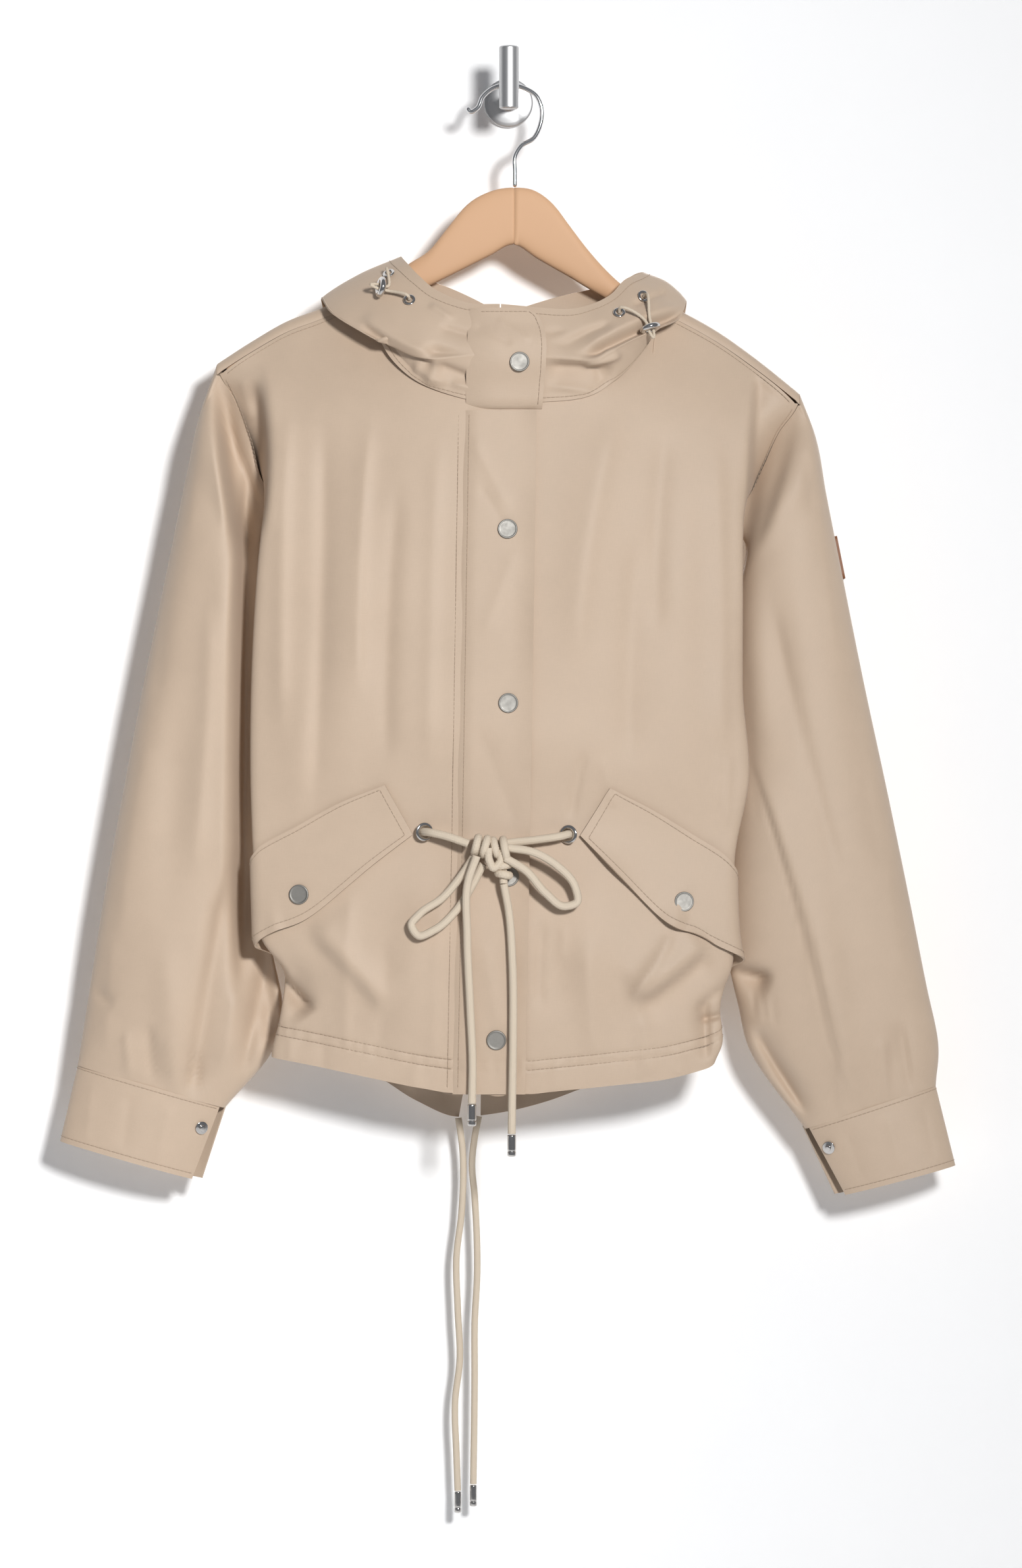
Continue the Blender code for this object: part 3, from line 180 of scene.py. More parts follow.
# Main folds of the front, seen from the front: x, z of both ends, half width, height
FRONT_FOLDS = (
    (-150, -430, -158, -560, 16, 3), (-118, -300, -128, -560, 17, 3), (-78, -260, -84, -540, 15, 2.4),
    (78, -240, 46, -440, 26, 4), (130, -270, 128, -540, 20, 3), (-172, -660, -150, -696, 10, -6),
    (-152, -640, -93, -700, 14, 4), (-66, -590, -78, -740, 15, 3), (36, -625, 36, -700, 14, -3),
    (60, -610, 70, -745, 15, 3), (140, -657, 88, -690, 12, 4), (148, -694, 150, -722, 8, -4),
)

# Sleeves from armhole to cuff seam, seen from the front: outer x, outer z, inner x, inner z,
# middle depth y, half depth
LEFT_SLEEVE = np.array([
    (-236, -244, -188, -336, -56, 33), (-246, -290, -187, -372, -57, 35),
    (-260.5, -361, -189, -425, -58, 36), (-277, -441, -190, -486, -58, 36),
    (-296, -541, -188, -568, -57, 35), (-310.5, -621, -182, -645, -55, 33),
    (-320, -681, -173, -704, -53, 31), (-325, -713, -181, -731, -52, 28),
    (-329.5, -741, -217, -773.5, -52, 18),
], float)
RIGHT_SLEEVE = np.array([
    (234, -258, 181, -342, -56, 30), (243, -305, 176, -380, -57, 35), (254, -361, 174, -430, -58, 36),
    (270, -441, 174, -488, -58, 36), (291.5, -541, 170, -578, -57, 35), (308, -621, 167, -651, -55, 33),
    (320, -681, 176, -696, -53, 31), (328.5, -721, 185.5, -731.5, -52, 28),
    (327, -756.5, 227, -789.5, -52, 17),
], float)
SLEEVE_SQUARE = 0.86
# Least room between a sleeve's two sides, and deepest trough on its back
SLEEVE_ROOM = 9.0
SLEEVE_BACK_TROUGH = 8.0

# Main folds of the sleeves, as FRONT_FOLDS
LEFT_SLEEVE_FOLDS = (
    (-214, -300, -222, -520, 12, 4), (-246, -420, -262, -640, 16, -4), (-305, -660, -318, -694, 9, -4),
    (-188, -694, -202, -750, 9, -5), (-262, -640, -252, -756, 12, 3.5),
)
RIGHT_SLEEVE_FOLDS = (
    (196, -350, 214, -520, 13, -4), (224, -560, 262, -765, 13, 4), (176, -668, 198, -684, 9, -5),
    (190, -730, 222, -768, 8, -5), (300, -700, 288, -765, 11, -3.5),
)

# Cuffs: outer x, outer z, inner x, inner z, half depth, at the seam and at the open end
LEFT_CUFF = np.array([(-329.6, -741.6, -217.6, -774.1, 19), (-343, -799, -239, -828.5, 17)], float)
RIGHT_CUFF = np.array([(327.1, -757.4, 227.4, -790.4, 18), (342, -817.5, 255, -840.5, 17)], float)
CUFF_Y = -52.0
CUFF_OPEN = 0.34
CUFF_OVER = -0.03
STUD_AT = (1, 1)
STUD_LIFT = 0.75

# Hood, a row per place round the neck from the left front to the right front:
# seam x, y, z; roll x, y, z; edge x, y, z; bulge of the outer layer
HOOD = np.array([
    (-6.6, -110, -238.5, -6.6, -117, -200, -6.6, -108, -163, 0),
    (-36, -109, -234, -38, -118, -203, -30, -106, -162, 1),
    (-68, -105, -222, -66, -119, -205, -54, -99, -152, 4),
    (-89, -98, -203.5, -90, -113, -195, -68, -90, -140, 5),
    (-100, -88, -182, -114, -102, -182, -76, -80, -131, 5),
    (-105, -77, -160, -135, -86, -168, -80, -69, -126, 4),
    (-105, -58, -139, -143, -62, -155.5, -82, -58, -123, 3),
    (-101, -44, -143, -140, -40, -170, -79, -45, -127, 5),
    (-92, -37, -152, -130, -28, -210, -70, -27, -138, 5),
    (-62, -36, -162, -104, -19, -302, -48, -20, -152, 7),
    (-5, -36, -167, -8, -17, -372, -5, -13, -184, 8), (60, -36, -166, 92, -19, -308, 56, -20, -158, 7),
    (98, -37, -162, 123, -28, -220, 82, -27, -144, 5), (108, -44, -152, 134, -37, -173, 96, -45, -136, 5),
    (111, -57, -149, 136, -62, -157.5, 103, -58, -135, 4),
    (112.5, -74, -170, 130, -86, -172, 97, -70, -138, 5),
    (110, -88, -185, 115, -101, -180, 88, -81, -143, 5),
    (97, -97, -205, 94, -111, -190, 77, -91, -155, 5),
    (80, -103, -221, 76, -117, -199, 60, -100, -163.5, 4),
    (54, -108, -234.5, 56, -118, -206, 40, -105, -166.5, 1),
    (-5.4, -110, -238.5, -5.4, -117, -200, -5.4, -108, -163, 0),
], float)
HOOD_MIDDLE = (-2.0, -60.0)
HOOD_RAILS = (0, 0.22, 0.38, 0.45, 0.52, 0.74, 1.0)
HOOD_ROLL = 0.8
# Grid in which a place on the hood is looked for, and distance added behind the ridge
SPOT_CELLS = (400, 60)
SPOT_FAR = 200.0

# Flaps, flat on the front from the inner end round the side: top s, top z, bottom s, bottom z
LEFT_FLAP = np.array([
    (-93, -526.5, -72, -564), (-127, -540, -104, -589), (-161, -558.5, -148, -625.5),
    (-185, -571.5, -176, -637.5), (-199, -583, -192, -645), (-226, -598, -221, -655),
], float)
RIGHT_FLAP = np.array([
    (76.5, -529, 54, -565), (109, -545.5, 87, -599.5), (139, -564, 119, -631), (161, -578, 142, -641),
    (176, -592, 172, -655), (200, -610, 199, -667),
], float)
FLAP_CELLS = (92, 38)
FLAP_LIFT = (1.2, 3.0)
FLAP_STEP = 3.0
FLAP_SNAPS = (("snap_flap_left", -157.5, -609.5), ("snap_flap_right", 132.0, -615.0))

# Collar tab on the hood's stand: z, y, left x, right x
TAB = np.array([
    (-242.5, -113.2, -32, 25.5), (-225, -115.4, -32, 27), (-205, -120.2, -31.5, 28.5),
    (-190, -119, -31, 28.5), (-178, -114.8, -30.5, 25.5), (-170, -112.8, -30.5, 20),
    (-166, -111.8, -30, 12),
], float)
TAB_SNAP = (8.5, -207.5)
TAB_SUNK = 4.4
TAB_SIDE = 0.45
TAB_FOOT = 9.0

# Snaps on the front: name, x, z
FRONT_SNAPS = (
    ("snap_chest", -0.5, -334),
    ("snap_middle", 0, -465),
    ("snap_waist", 0.5, -596),
    ("snap_hem", -9, -719),
)

# Hanger: x, top z, bottom z, half thickness
HANGER = np.array([
    (-215, -202.5, -218, 5), (-196, -190.7, -210, 5.6), (-169, -175.2, -197, 6), (-144, -165.8, -188, 6),
    (-110, -150.6, -171, 6), (-90, -140, -160.5, 6), (-76, -128.7, -153.5, 6.2), (-60, -118, -145.5, 6.5),
    (-47, -102, -139, 6.5), (-32, -84, -131.5, 6.5), (-14, -73.5, -122.5, 6.5), (4, -70.5, -114, 6.5),
    (21.5, -73.5, -124.5, 6.5), (34.5, -83.5, -132, 6.5), (47, -100, -139, 6.5), (60, -117, -147, 6.5),
    (83, -141.5, -160, 6.2), (97, -152.5, -168, 5.6), (113, -161, -178, 5.6), (135, -169.4, -189, 6),
    (159, -183, -203, 6), (190, -205, -224, 5.6), (215, -225, -239, 5),
], float)
HANGER_SQUARE = np.array([(-215, 1.0), (-80, 1.0), (-50, 0.55), (50, 0.55), (80, 1.0), (215, 1.0)], float)
HANGER_STEPS = (130, 48)
HOOK_WIRE = 3.6
HOOK_STEPS = 220
HOOK_ROUTE = np.array([
    (5, -70.1), (5, -58), (5, -47), (10, -38.5), (19, -33), (24.5, -22), (25.5, -11), (21, 0), (12, 5.6),
    (0, 8.1), (-11.5, 5.6), (-19.5, -1), (-24, -10), (-29, -12.5), (-31.5, -9),
], float)
POST_END = -66.0
BAR_RADIUS = 7.5

# Waist bow: x, z, lift off the front
LEFT_LEAD = ((-64.3, -562, 2.4), (-63, -562, 4.6), (-59, -562.5, 9), (-46, -565.5, 13.5), (-29.9, -571, 16))
RIGHT_LEAD = (
    (46.3, -564, 2.4), (45, -564, 4.6), (41, -565, 8.5), (22, -568, 10.5), (-0.4, -570.5, 11.5),
    (-9, -572, 13),
)
LEFT_LOOP = (
    (-25.5, -580.2, 14.5), (-34, -593, 12), (-50, -612, 9), (-67, -624, 8), (-73, -632, 8),
    (-68, -640, 8), (-56, -636, 8), (-40, -622, 8), (-26, -600, 9), (-19, -586, 11),
)
RIGHT_LOOP = (
    (-0.2, -574, 20), (18, -577, 21), (36, -587, 18), (50, -603, 14), (51.5, -615, 12), (42, -618, 12),
    (28, -608, 15), (13, -591, 19), (-2.5, -581.5, 21),
)
LEFT_TAIL = (
    (-23.8, -580.1, 24.3), (-30, -598, 20), (-31, -640, 9), (-29, -690, 7.5), (-27, -740, 7.5),
    (-27.5, -767, 8),
)
RIGHT_TAIL = (
    (-3.5, -601.2, 14), (0, -620, 10), (3, -660, 8), (3.5, -719, 8), (3, -755, 8), (2.5, -790, 9),
)

# Hem cords hanging from the tail: x, z
HEM_Y = -23.0
LEFT_HEM_CORD = (
    (-38.5, -782.9), (-35.5, -805), (-36, -855), (-40, -890), (-39, -930), (-37.5, -970), (-41, -1000),
    (-40, -1042), (-39, -1069.5),
)
RIGHT_HEM_CORD = (
    (-22.8, -781.6), (-26, -798), (-28, -818), (-26, -843), (-24, -900), (-26, -942), (-26, -980),
    (-27, -1064.5),
)

# Hood eyelets and cord locks, seen from the front: x, z of both eyelets and the lock, way through the lock
LEFT_LOCK = ((-91, -139), (-75, -160), (-94, -154.5), (-0.93, -0.3, 0.2))
RIGHT_LOCK = ((102, -156), (84, -170), (102.5, -177), (0.3, -0.2, -0.93))
LOCK_RING = (5.8, 2.3)
LOCK_LIFT = 8.8
LOCK_RUN = (5.0, 3.0, 8.0)
STRAND = 1.9
ELASTIC_SEAT = 0.4
ELASTIC_RISE = 4.0
ELASTIC_PITCH = 0.6

# Sleeve patch: rows along the sleeve and columns round it
PATCH_ALONG = (0.2, 0.267)
PATCH_ROUND = (0.5, 0.6)
PATCH_THICK = 1.4

# Creases of the front, seen from the front: x, z of both ends, bow of the line, half width, share by which
# the bell is wider on the bow's side, height (a trough where negative)
FRONT_CREASES = (
    (-166, -225, -171, -500, 3, 9, 0.2, 2.6), (-140, -235, -149, -560, -4, 10, -0.2, -3),
    (-104, -240, -113, -470, 4, 9, 0.2, 2.4), (-82, -290, -92, -520, 3, 10, 0, -2.6),
    (-52, -250, -60, -530, 2, 9, 0.2, 1.8), (84, -235, 50, -440, 6, 14, 0.3, 3),
    (120, -250, 112, -420, 3, 12, 0, -3), (156, -250, 160, -520, -3, 11, 0.2, 2.8),
    (100, -330, 92, -520, 4, 14, 0, -2.8), (167, -500, 165, -560, 0, 3, 0, 1.3),
    (160, -501, 159, -545, 0, 3, 0, 0.9), (58, -501, 47, -556, 1, 3.5, 0.2, -1.8),
    (70, -505, 80, -545, 0, 5, 0, 0.9), (-158, -640, -98, -704, -2, 10, 0.5, -2.5),
    (-150, -628, -86, -698, -2, 14, -0.75, 4.5), (-118, -600, -122, -735, 3, 8, 0.1, 1.4),
    (-92, -640, -100, -745, -2, 9, 0, -1.2), (-50, -600, -56, -750, 2, 7, 0.2, 1.3),
    (126, -636, 89, -692, -2, 5, 0.3, 3.2), (152, -642, 92, -690, -2, 14, 0.8, 6),
    (156, -652, 95, -698, -2, 9, -0.6, -5.5), (26, -626, 24, -698, 1, 4, 0.2, -1.8),
    (42, -631, 40, -660, 0, 4, 0, 1), (60, -640, 66, -740, 2, 8, 0.2, 1.4),
    (100, -700, 108, -748, 0, 8, 0, 1.2), (-28, -261, 2, -321, 1, 6, 0.2, 1.1),
    (-22, -300, -2, -332, 0, 4, 0, -0.7), (8, -345, -20, -420, 1, 8, 0, 0.9),
    (-26, -480, 6, -560, -2, 9, 0.1, -0.9), (-20, -640, -6, -715, 0, 8, 0, 0.9),
    (-165, -715, -166, -738, 0, 5, 0, 1.2), (-140, -722, -141, -744, 0, 6, 0, -1),
    (-70, -735, -71, -760, 0, 7, 0, 1), (35, -735, 36, -760, 0, 7, 0, 0.9),
    (95, -732, 96, -755, 0, 6, 0, -0.9), (130, -725, 131, -748, 0, 6, 0, 1.1),
)

# Creases of the fronts that run into the armholes and the side seams, as FRONT_CREASES
SIDE_CREASES = (
    (-196, -214, -194, -340, -6, 9, 0.8, -13), (-186, -200, -183, -345, -6, 7, -0.6, 2.4),
    (-204, -215, -196, -250, 0, 5, 0, 1.4), (193, -205, 187, -360, 2, 7, -0.75, -6),
    (184, -200, 180, -420, 2, 4, 0.5, 1.8), (-184, -658, -147, -699, 2, 8, 0.7, -14),
    (176, -672, 140, -700, 1, 5, -0.6, -5), (170, -699, 144, -706, 0, 4, 0.6, -6),
    (150, -688, 150, -738, 0, 4, 0.6, -4), (160, -712, 162, -748, 0, 5, 0, 2),
)

# Creases of the back, as FRONT_CREASES: pulls from the shoulder blades, gathers at the waist cord, the tails
BACK_CREASES = (
    (-170, -250, -95, -430, -8, 16, 0.2, 3), (165, -262, 95, -440, 8, 16, 0.2, 3),
    (-130, -380, -60, -540, -6, 14, 0.2, -2.4), (130, -390, 64, -545, 6, 14, 0.2, -2.4),
    (-8, -400, -14, -550, 4, 12, 0, 1.6), (-160, -520, -163, -625, 0, 7, 0, 2.4),
    (-132, -505, -134, -640, 2, 9, 0.2, -2.2), (-104, -530, -106, -620, 0, 7, 0, 2.6),
    (-74, -515, -78, -650, -2, 9, 0, -2.4), (-44, -525, -47, -630, 0, 8, 0.2, 2.6),
    (-12, -520, -17, -640, 0, 9, 0, -2.2), (20, -510, 18, -630, 2, 8, 0, 2.6),
    (52, -528, 52, -650, 0, 8, 0.2, -2.4), (84, -515, 86, -625, 0, 8, 0, 2.4),
    (112, -530, 115, -640, -2, 8, 0, -2.2), (140, -520, 143, -625, 0, 7, 0, 2.4),
    (-120, -680, -112, -748, 0, 9, 0, 2), (-82, -690, -72, -768, 2, 9, 0.2, -2.2),
    (-52, -700, -48, -778, 0, 8, 0, 1.8), (10, -700, 6, -775, 0, 9, 0, 2),
    (48, -690, 46, -762, 0, 9, 0, -2), (88, -690, 90, -750, 0, 9, 0, 1.8),
    (130, -680, 134, -738, 0, 8, 0, -1.6),
)

# Creases of the sleeves, as FRONT_CREASES
LEFT_SLEEVE_CREASES = (
    (-229, -196, -210, -350, 2, 7, -0.4, 3), (-218, -192, -198, -360, 2, 14, -0.8, -30),
    (-236, -262, -243, -340, 0, 8, 0, 1.6), (-250, -320, -268, -470, 4, 9, 0.2, -2),
    (-228, -380, -240, -600, -4, 9, 0.2, 2.2), (-272, -480, -296, -650, 3, 10, -0.1, 1.8),
    (-199, -270, -203, -700, 0, 11, -0.75, -34), (-210, -330, -218, -640, 1, 6, 0.5, 2.6),
    (-216, -580, -250, -775, 0, 4, 0.3, 2.6), (-213, -590, -246, -785, 0, 14, -0.75, -9),
    (-328, -672, -300, -696, 0, 5, 0, -6), (-300, -640, -306, -730, 2, 7, 0, 1.6),
    (-184, -660, -203, -756, 2, 7, 0.2, -7), (-192, -570, -180, -735, 0, 13, 0.3, -24),
    (-206, -680, -216, -745, 1, 6, 0, 1.8), (-228, -762, -212, -772, 0, 3, 0, -2),
    (-275, -706, -268, -768, 0, 5, 0.3, -3.4), (-292, -712, -287, -764, 0, 4, 0, 2.6),
    (-258, -716, -254, -772, 0, 4, 0, 2.4), (-240, -722, -236, -778, 0, 4, 0.3, -3),
)
RIGHT_SLEEVE_CREASES = (
    (219, -235, 185, -350, -2, 8, 0.5, -3.6), (224, -240, 200, -330, -2, 5, 0, 1.2),
    (226, -270, 232, -320, 0, 7, 0, -1.8), (236, -300, 250, -430, 0, 8, 0, 1.8),
    (198, -380, 256, -610, 2, 7, 0.3, -2), (185, -500, 267, -790, -4, 9, -0.75, 4.2),
    (181, -500, 263, -790, -4, 2.4, 0, -3.2), (180, -420, 190, -560, 2, 7, 0, -2),
    (262, -430, 286, -600, 3, 10, 0, -1.8), (290, -580, 306, -680, 3, 9, 0.2, 1.8),
    (150, -660, 202, -676, 2, 9, 0.6, -18), (186, -680, 188, -705, 0, 2.4, 0, -1.4),
    (193, -682, 196, -708, 0, 2.4, 0, -1.3), (200, -684, 204, -712, 0, 3, 0, -1.2),
    (186, -710, 231, -782, 1, 6, -0.3, -13), (298, -706, 308, -768, 0, 5, 0.3, -3.2),
    (284, -716, 290, -774, 0, 4, 0, 2.6), (250, -728, 257, -786, 0, 4, 0, 2.6),
)

# Creases of the hood, as FRONT_CREASES: its outer layer in front, and its pouch behind
HOOD_CREASES = (
    (-114, -178, -56, -211, 3, 8, 0.75, -7), (-112, -171, -58, -203, 3, 6, -0.3, 3),
    (-64, -196, -16, -212, 0, 7, 0.6, -4.5), (-60, -163, -42, -175, 0, 3, 0, 2.6),
    (-52, -180, -26, -188, 0, 4, 0.4, -2.2), (54, -207, 140, -168, -3, 8, 0.75, -8),
    (54, -199, 136, -161, -3, 6, -0.3, 3.2), (36, -198, 80, -177, -2, 5, 0.5, -3),
    (28, -187, 42, -181, 0, 3, 0, -2), (92, -164, 122, -150, 0, 4, 0.4, -2.4),
)
STAND_CREASES = (
    (-100, -190, -54, -214, 2, 8, 0.75, -8), (-76, -211, -46, -224, 0, 5, 0.4, 3.4),
    (-56, -210, -18, -224, 0, 7, 0.6, -5), (-44, -223, -14, -230, 0, 4, 0, 2.4),
    (26, -212, 82, -216, 0, 9, 0.6, -9), (56, -213, 86, -200, 0, 5, -0.4, 4),
    (32, -225, 66, -230, 0, 4, 0, 2.4),
)
HOOD_BACK_CREASES = (
    (-82, -205, 74, -208, 45, 9, 0.2, -3), (-70, -230, 66, -236, 60, 8, 0, 2.5),
    (-55, -260, 50, -262, 60, 10, 0.2, -2.5), (-20, -200, -30, -330, 0, 10, 0, 1.5),
    (30, -210, 38, -320, 0, 10, 0, 1.5),
)
TAB_CREASES = (
    (-27, -178, 4, -195, 0, 4, 0, -1), (-10, -174, 18, -193, 0, 4, 0, 0.9),
)
CUFF_CREASES = (
    (-318, -752, -322, -800, 0, 5, 0, 0.9), (-288, -760, -294, -806, 0, 6, 0, -0.9),
    (-258, -768, -268, -818, 0, 5, 0, 0.8), (316, -768, 326, -815, 0, 5, 0, -0.8),
    (288, -776, 300, -822, 0, 6, 0, 0.9), (256, -786, 272, -832, 0, 5, 0, -0.8),
)

# Lower edge of each flap: share along it from the inner end, how far it gapes
LEFT_GAPE = np.array([
    (0, 0.2), (0.2, 0.4), (0.4, -0.6), (0.52, -0.6), (0.6, 1.2), (0.68, 0.2), (0.85, 3), (1, 4.5),
], float)
RIGHT_GAPE = np.array([
    (0, 0), (0.13, 5), (0.28, 0.4), (0.33, 0.2), (0.43, 4.4), (0.53, 0), (0.74, 0), (0.87, 4.6), (1, 1.5),
], float)

# Finer grids of the strips: cells across, cells up
CUFF_CELLS = (140, 30)
CUFF_UNDER = 8.0
PLACKET_CELLS = (28, 220)
TAB_CELLS = (48, 64)

# Height of the cloth's own unevenness
CRUMPLE = 0.35

# Braid relief, step along a cord, steps of a smooth line, thread radius, lift of a thread off the cloth
BRAID = 0.34
CORD_STEP = 0.75
PATH_STEPS = 400
THREAD = 0.26
THREAD_LIFT = 0.12
# One stitch from end to end: share of its length, its thickness and its rise in thread radii
STITCH = np.array([
    (-0.46, 0.45, -0.9), (-0.36, 0.9, 0.2), (0, 1, 0.6), (0.36, 0.9, 0.2), (0.46, 0.45, -0.9),
], float)

# Depth of the weave in metres, and how far its slubs are drawn out, both ways
WEAVE_DEEP = 0.00003
SLUB_UP = (1800.0, 150.0, 1.0)
SLUB_ACROSS = (150.0, 1800.0, 1.0)

# Knot of the bow and stopper knot: x, z, lift of a turn's middle, its radius, lean, way it turns about
KNOT_TURNS = (
    (-24.0, -572.0, 16.5, 5.6, 0.25, "across"),
    (-17.5, -573.0, 17.5, 5.9, 0.3, "across"),
    (-10.0, -574.0, 16.5, 5.6, -0.25, "across"),
    (-2.5, -575.5, 15.5, 7.6, -0.2, "across"),
    (-4.0, -587.5, 14.0, 4.2, 0.2, "up"),
    (-3.6, -594.0, 14.0, 4.2, -0.2, "up"),
)
KNOT_BIGHT = ((-15, -574, 23), (-14.5, -583, 22), (-11, -589, 19.5), (-6.5, -585, 19), (-5.5, -577, 20))
KNOT_END = ((-8, -576, 20), (-5, -583, 18), (-4, -592, 14), (-3.5, -601, 14))

# Turned profiles: radius, height
SNAP = (
    (0.05, 0), (7.0, 0), (7.5, 0.35), (7.5, 1.3), (7.3, 1.7), (6.9, 1.9), (6.5, 1.85), (6.2, 1.62),
    (5.6, 1.55), (4.4, 1.55), (2.4, 1.55), (0.05, 1.55),
)
STUD = (
    (0.05, 0), (4.7, 0), (5.0, 0.25), (4.9, 0.8), (3.4, 1.0), (2.2, 1.2), (2.1, 1.9), (2.45, 2.4),
    (2.3, 3.0), (1.3, 3.2), (0.05, 3.25),
)
TIP = (
    (0.05, -17), (2.0, -17), (3.05, -16.4), (3.3, -15.4), (3.3, -13.4), (2.95, -13.1), (2.95, -12.5),
    (3.3, -12.2), (3.3, -1.3), (3.0, -0.6), (2.3, -0.4), (0.05, -0.4),
)
TIP_RADIUS = 3.3
PLATE = (
    (0.05, 0), (18.6, 0), (19.0, 0.5), (19.0, 3.4), (18.4, 4.2), (16.0, 4.9), (12.0, 5.5), (6.8, 6.0),
    (6.0, 6.6), (6.0, 66.0), (0.05, 66.0),
)
BAR = (
    (0.05, -12), (6.3, -12), (7.5, -11), (7.5, -9), (7.5, 33), (7.5, 35), (6.3, 36), (0.05, 36),
)
# Steps along a profile and round it
SNAP_STEPS = (34, 44)
STUD_STEPS = (30, 32)
TIP_STEPS = (34, 32)
RING_STEPS = (24, 44)
PLATE_STEPS = (40, 72)
BAR_STEPS = (40, 48)
MITRE_X = 4.0
MITRE_CUT = (0.5, 0.45)

# Rows of stitches: distances from hems, seams and edges
HEM_STITCH = (18.0, 25.0)
# Relief of a hem: height, distance above the edge and half width of its edge and its puckers; its grooves
HEM_EDGE = (0.5, 7.0, 9.0)
HEM_PUCKER = (0.3, 21.5, 6.0)
HEM_GROOVE = (0.55, 1.1)
EDGE_STITCH = 3.0
# Shares up or along a piece: hood's edge and seam, cuff's edges, tab's side, flap's top, bottom and end
HOOD_STITCH = (0.93, 0.04)
CUFF_STITCH = (0.05, 0.93)
TAB_STITCH = 0.94
FLAP_STITCH = (0.05, 0.925, 0.028)
PLACKET_STITCH = (-31.5, -23.5)

# Camera: plane that the photograph's scale holds for, height of its frame there, x and z of its middle
CAMERA_PLANE = -90.0
CAMERA_HIGH = 1190.0
CAMERA_AT = (2.0, -526.0)
SENSOR = 36.0

# Stage in metres: places, aims and sizes of the lights, wall and floor
KEY_AT = (0.95, -3.6, 0.45)
KEY_AIM = (-0.85, -0.1, -0.45)
SOFT_AIM = (0.0, -0.1, -0.45)
KEY_SIZE = 0.5
BACK_AT = (0.3, 2.4, 0.4)
FRONT_AT = (-1.6, -6.8, 0.6)
FRONT_SIZE = 3.0
BACK_SIZE = 1.6
LIGHT_SPREAD = math.radians(80)
FLOOR_Z = -1.4
FLOOR_END = -1.7
FLOOR_BEND = 0.3
WALL_Y = 0.001
WALL_TOP = 3.0
SKY = (0.9, 0.93, 1.0, 1.0)
PALE = (0.8, 0.81, 0.82, 1.0)
STAGE_HALF = 5.0


class JacketCloth(PropertyGroup):
    """Cloth of the jacket and its sewing."""

    colour: FloatVectorProperty(
        name="Cloth", description="Colour of the cotton cloth", default=(0.505, 0.388, 0.288), **COLOUR,
    )
    # Thread colour: the thread's own tone, set darker than the cloth as painted shade of the stitches sunk
    # into it.
    thread_and_stitch_shade: FloatVectorProperty(
        name="Thread", description="Colour of the sewing thread", default=(0.40, 0.305, 0.222), **COLOUR,
    )
    wall: FloatProperty(
        name="Wall", description="Thickness of one layer of cloth", unit="LENGTH", default=CLOTH * MM,
    )
    strip: FloatProperty(
        name="Strip", description="Thickness of placket, tab, flaps and cuffs", unit="LENGTH",
        default=PLACKET_CLOTH * MM,
    )
    weave: FloatProperty(
        name="Weave", description="Distance between threads of the weave", unit="LENGTH", default=0.00045,
    )
    stitch: FloatProperty(name="Stitch", description="Length of one stitch", unit="LENGTH", default=0.0034)


class JacketCord(PropertyGroup):
    """Braided drawcords and elastic."""

    colour: FloatVectorProperty(
        name="Cord", description="Colour of the braid", default=(0.53, 0.44, 0.325), **COLOUR,
    )
    waist: FloatProperty(
        name="Waist cord", description="Diameter of the waist cord", unit="LENGTH", default=WAIST_CORD * MM,
    )
    hem: FloatProperty(
        name="Hem cord", description="Diameter of the hem cord", unit="LENGTH", default=HEM_CORD * MM,
    )
    elastic: FloatProperty(
        name="Elastic", description="Diameter of the hood elastic", unit="LENGTH", default=ELASTIC * MM,
    )
    pitch: FloatProperty(
        name="Braid pitch", description="Length of one stitch of the braid", unit="LENGTH", default=0.0017,
    )


class JacketTrim(PropertyGroup):
    """Metal, wood and leather."""

    nickel: FloatVectorProperty(
        name="Nickel", description="Colour of eyelets, locks and tips", default=(0.42, 0.395, 0.35), **COLOUR,
    )
    satin: FloatVectorProperty(
        name="Satin", description="Colour of the snaps' brushed caps", default=(0.30, 0.288, 0.265), **COLOUR,
    )
    chrome: FloatVectorProperty(
        name="Chrome", description="Colour of the hanger's wire", default=(0.72, 0.72, 0.73), **COLOUR,
    )
    steel: FloatVectorProperty(
        name="Steel", description="Colour of the wall hook", default=(0.5, 0.46, 0.41), **COLOUR,
    )
    wood: FloatVectorProperty(
        name="Wood", description="Light tone of the hanger's wood", default=(0.60, 0.37, 0.215), **COLOUR,
    )
    grain: FloatVectorProperty(
        name="Grain", description="Dark tone of the hanger's wood", default=(0.36, 0.18, 0.085), **COLOUR,
    )
    leather: FloatVectorProperty(
        name="Leather", description="Colour of the sleeve patch", default=(0.23, 0.10, 0.045), **COLOUR,
    )


class JacketStage(PropertyGroup):
    """Wall, floor, light and camera."""

    backdrop: FloatVectorProperty(
        name="Backdrop", description="Colour of wall and floor", default=(0.93, 0.93, 0.93), **COLOUR,
    )
    key: FloatProperty(name="Key", description="Power of the main light", unit="POWER", default=30.5)
    front: FloatProperty(name="Front", description="Power of the soft front light", unit="POWER", default=0.8)
    fill: FloatProperty(name="Fill", description="Strength of the white surroundings", default=0.2)
    back: FloatProperty(name="Back", description="Power of the light behind", unit="POWER", default=10.0)
    distance: FloatProperty(
        name="Distance", description="Camera's distance from the wall", unit="LENGTH", default=5.0,
    )


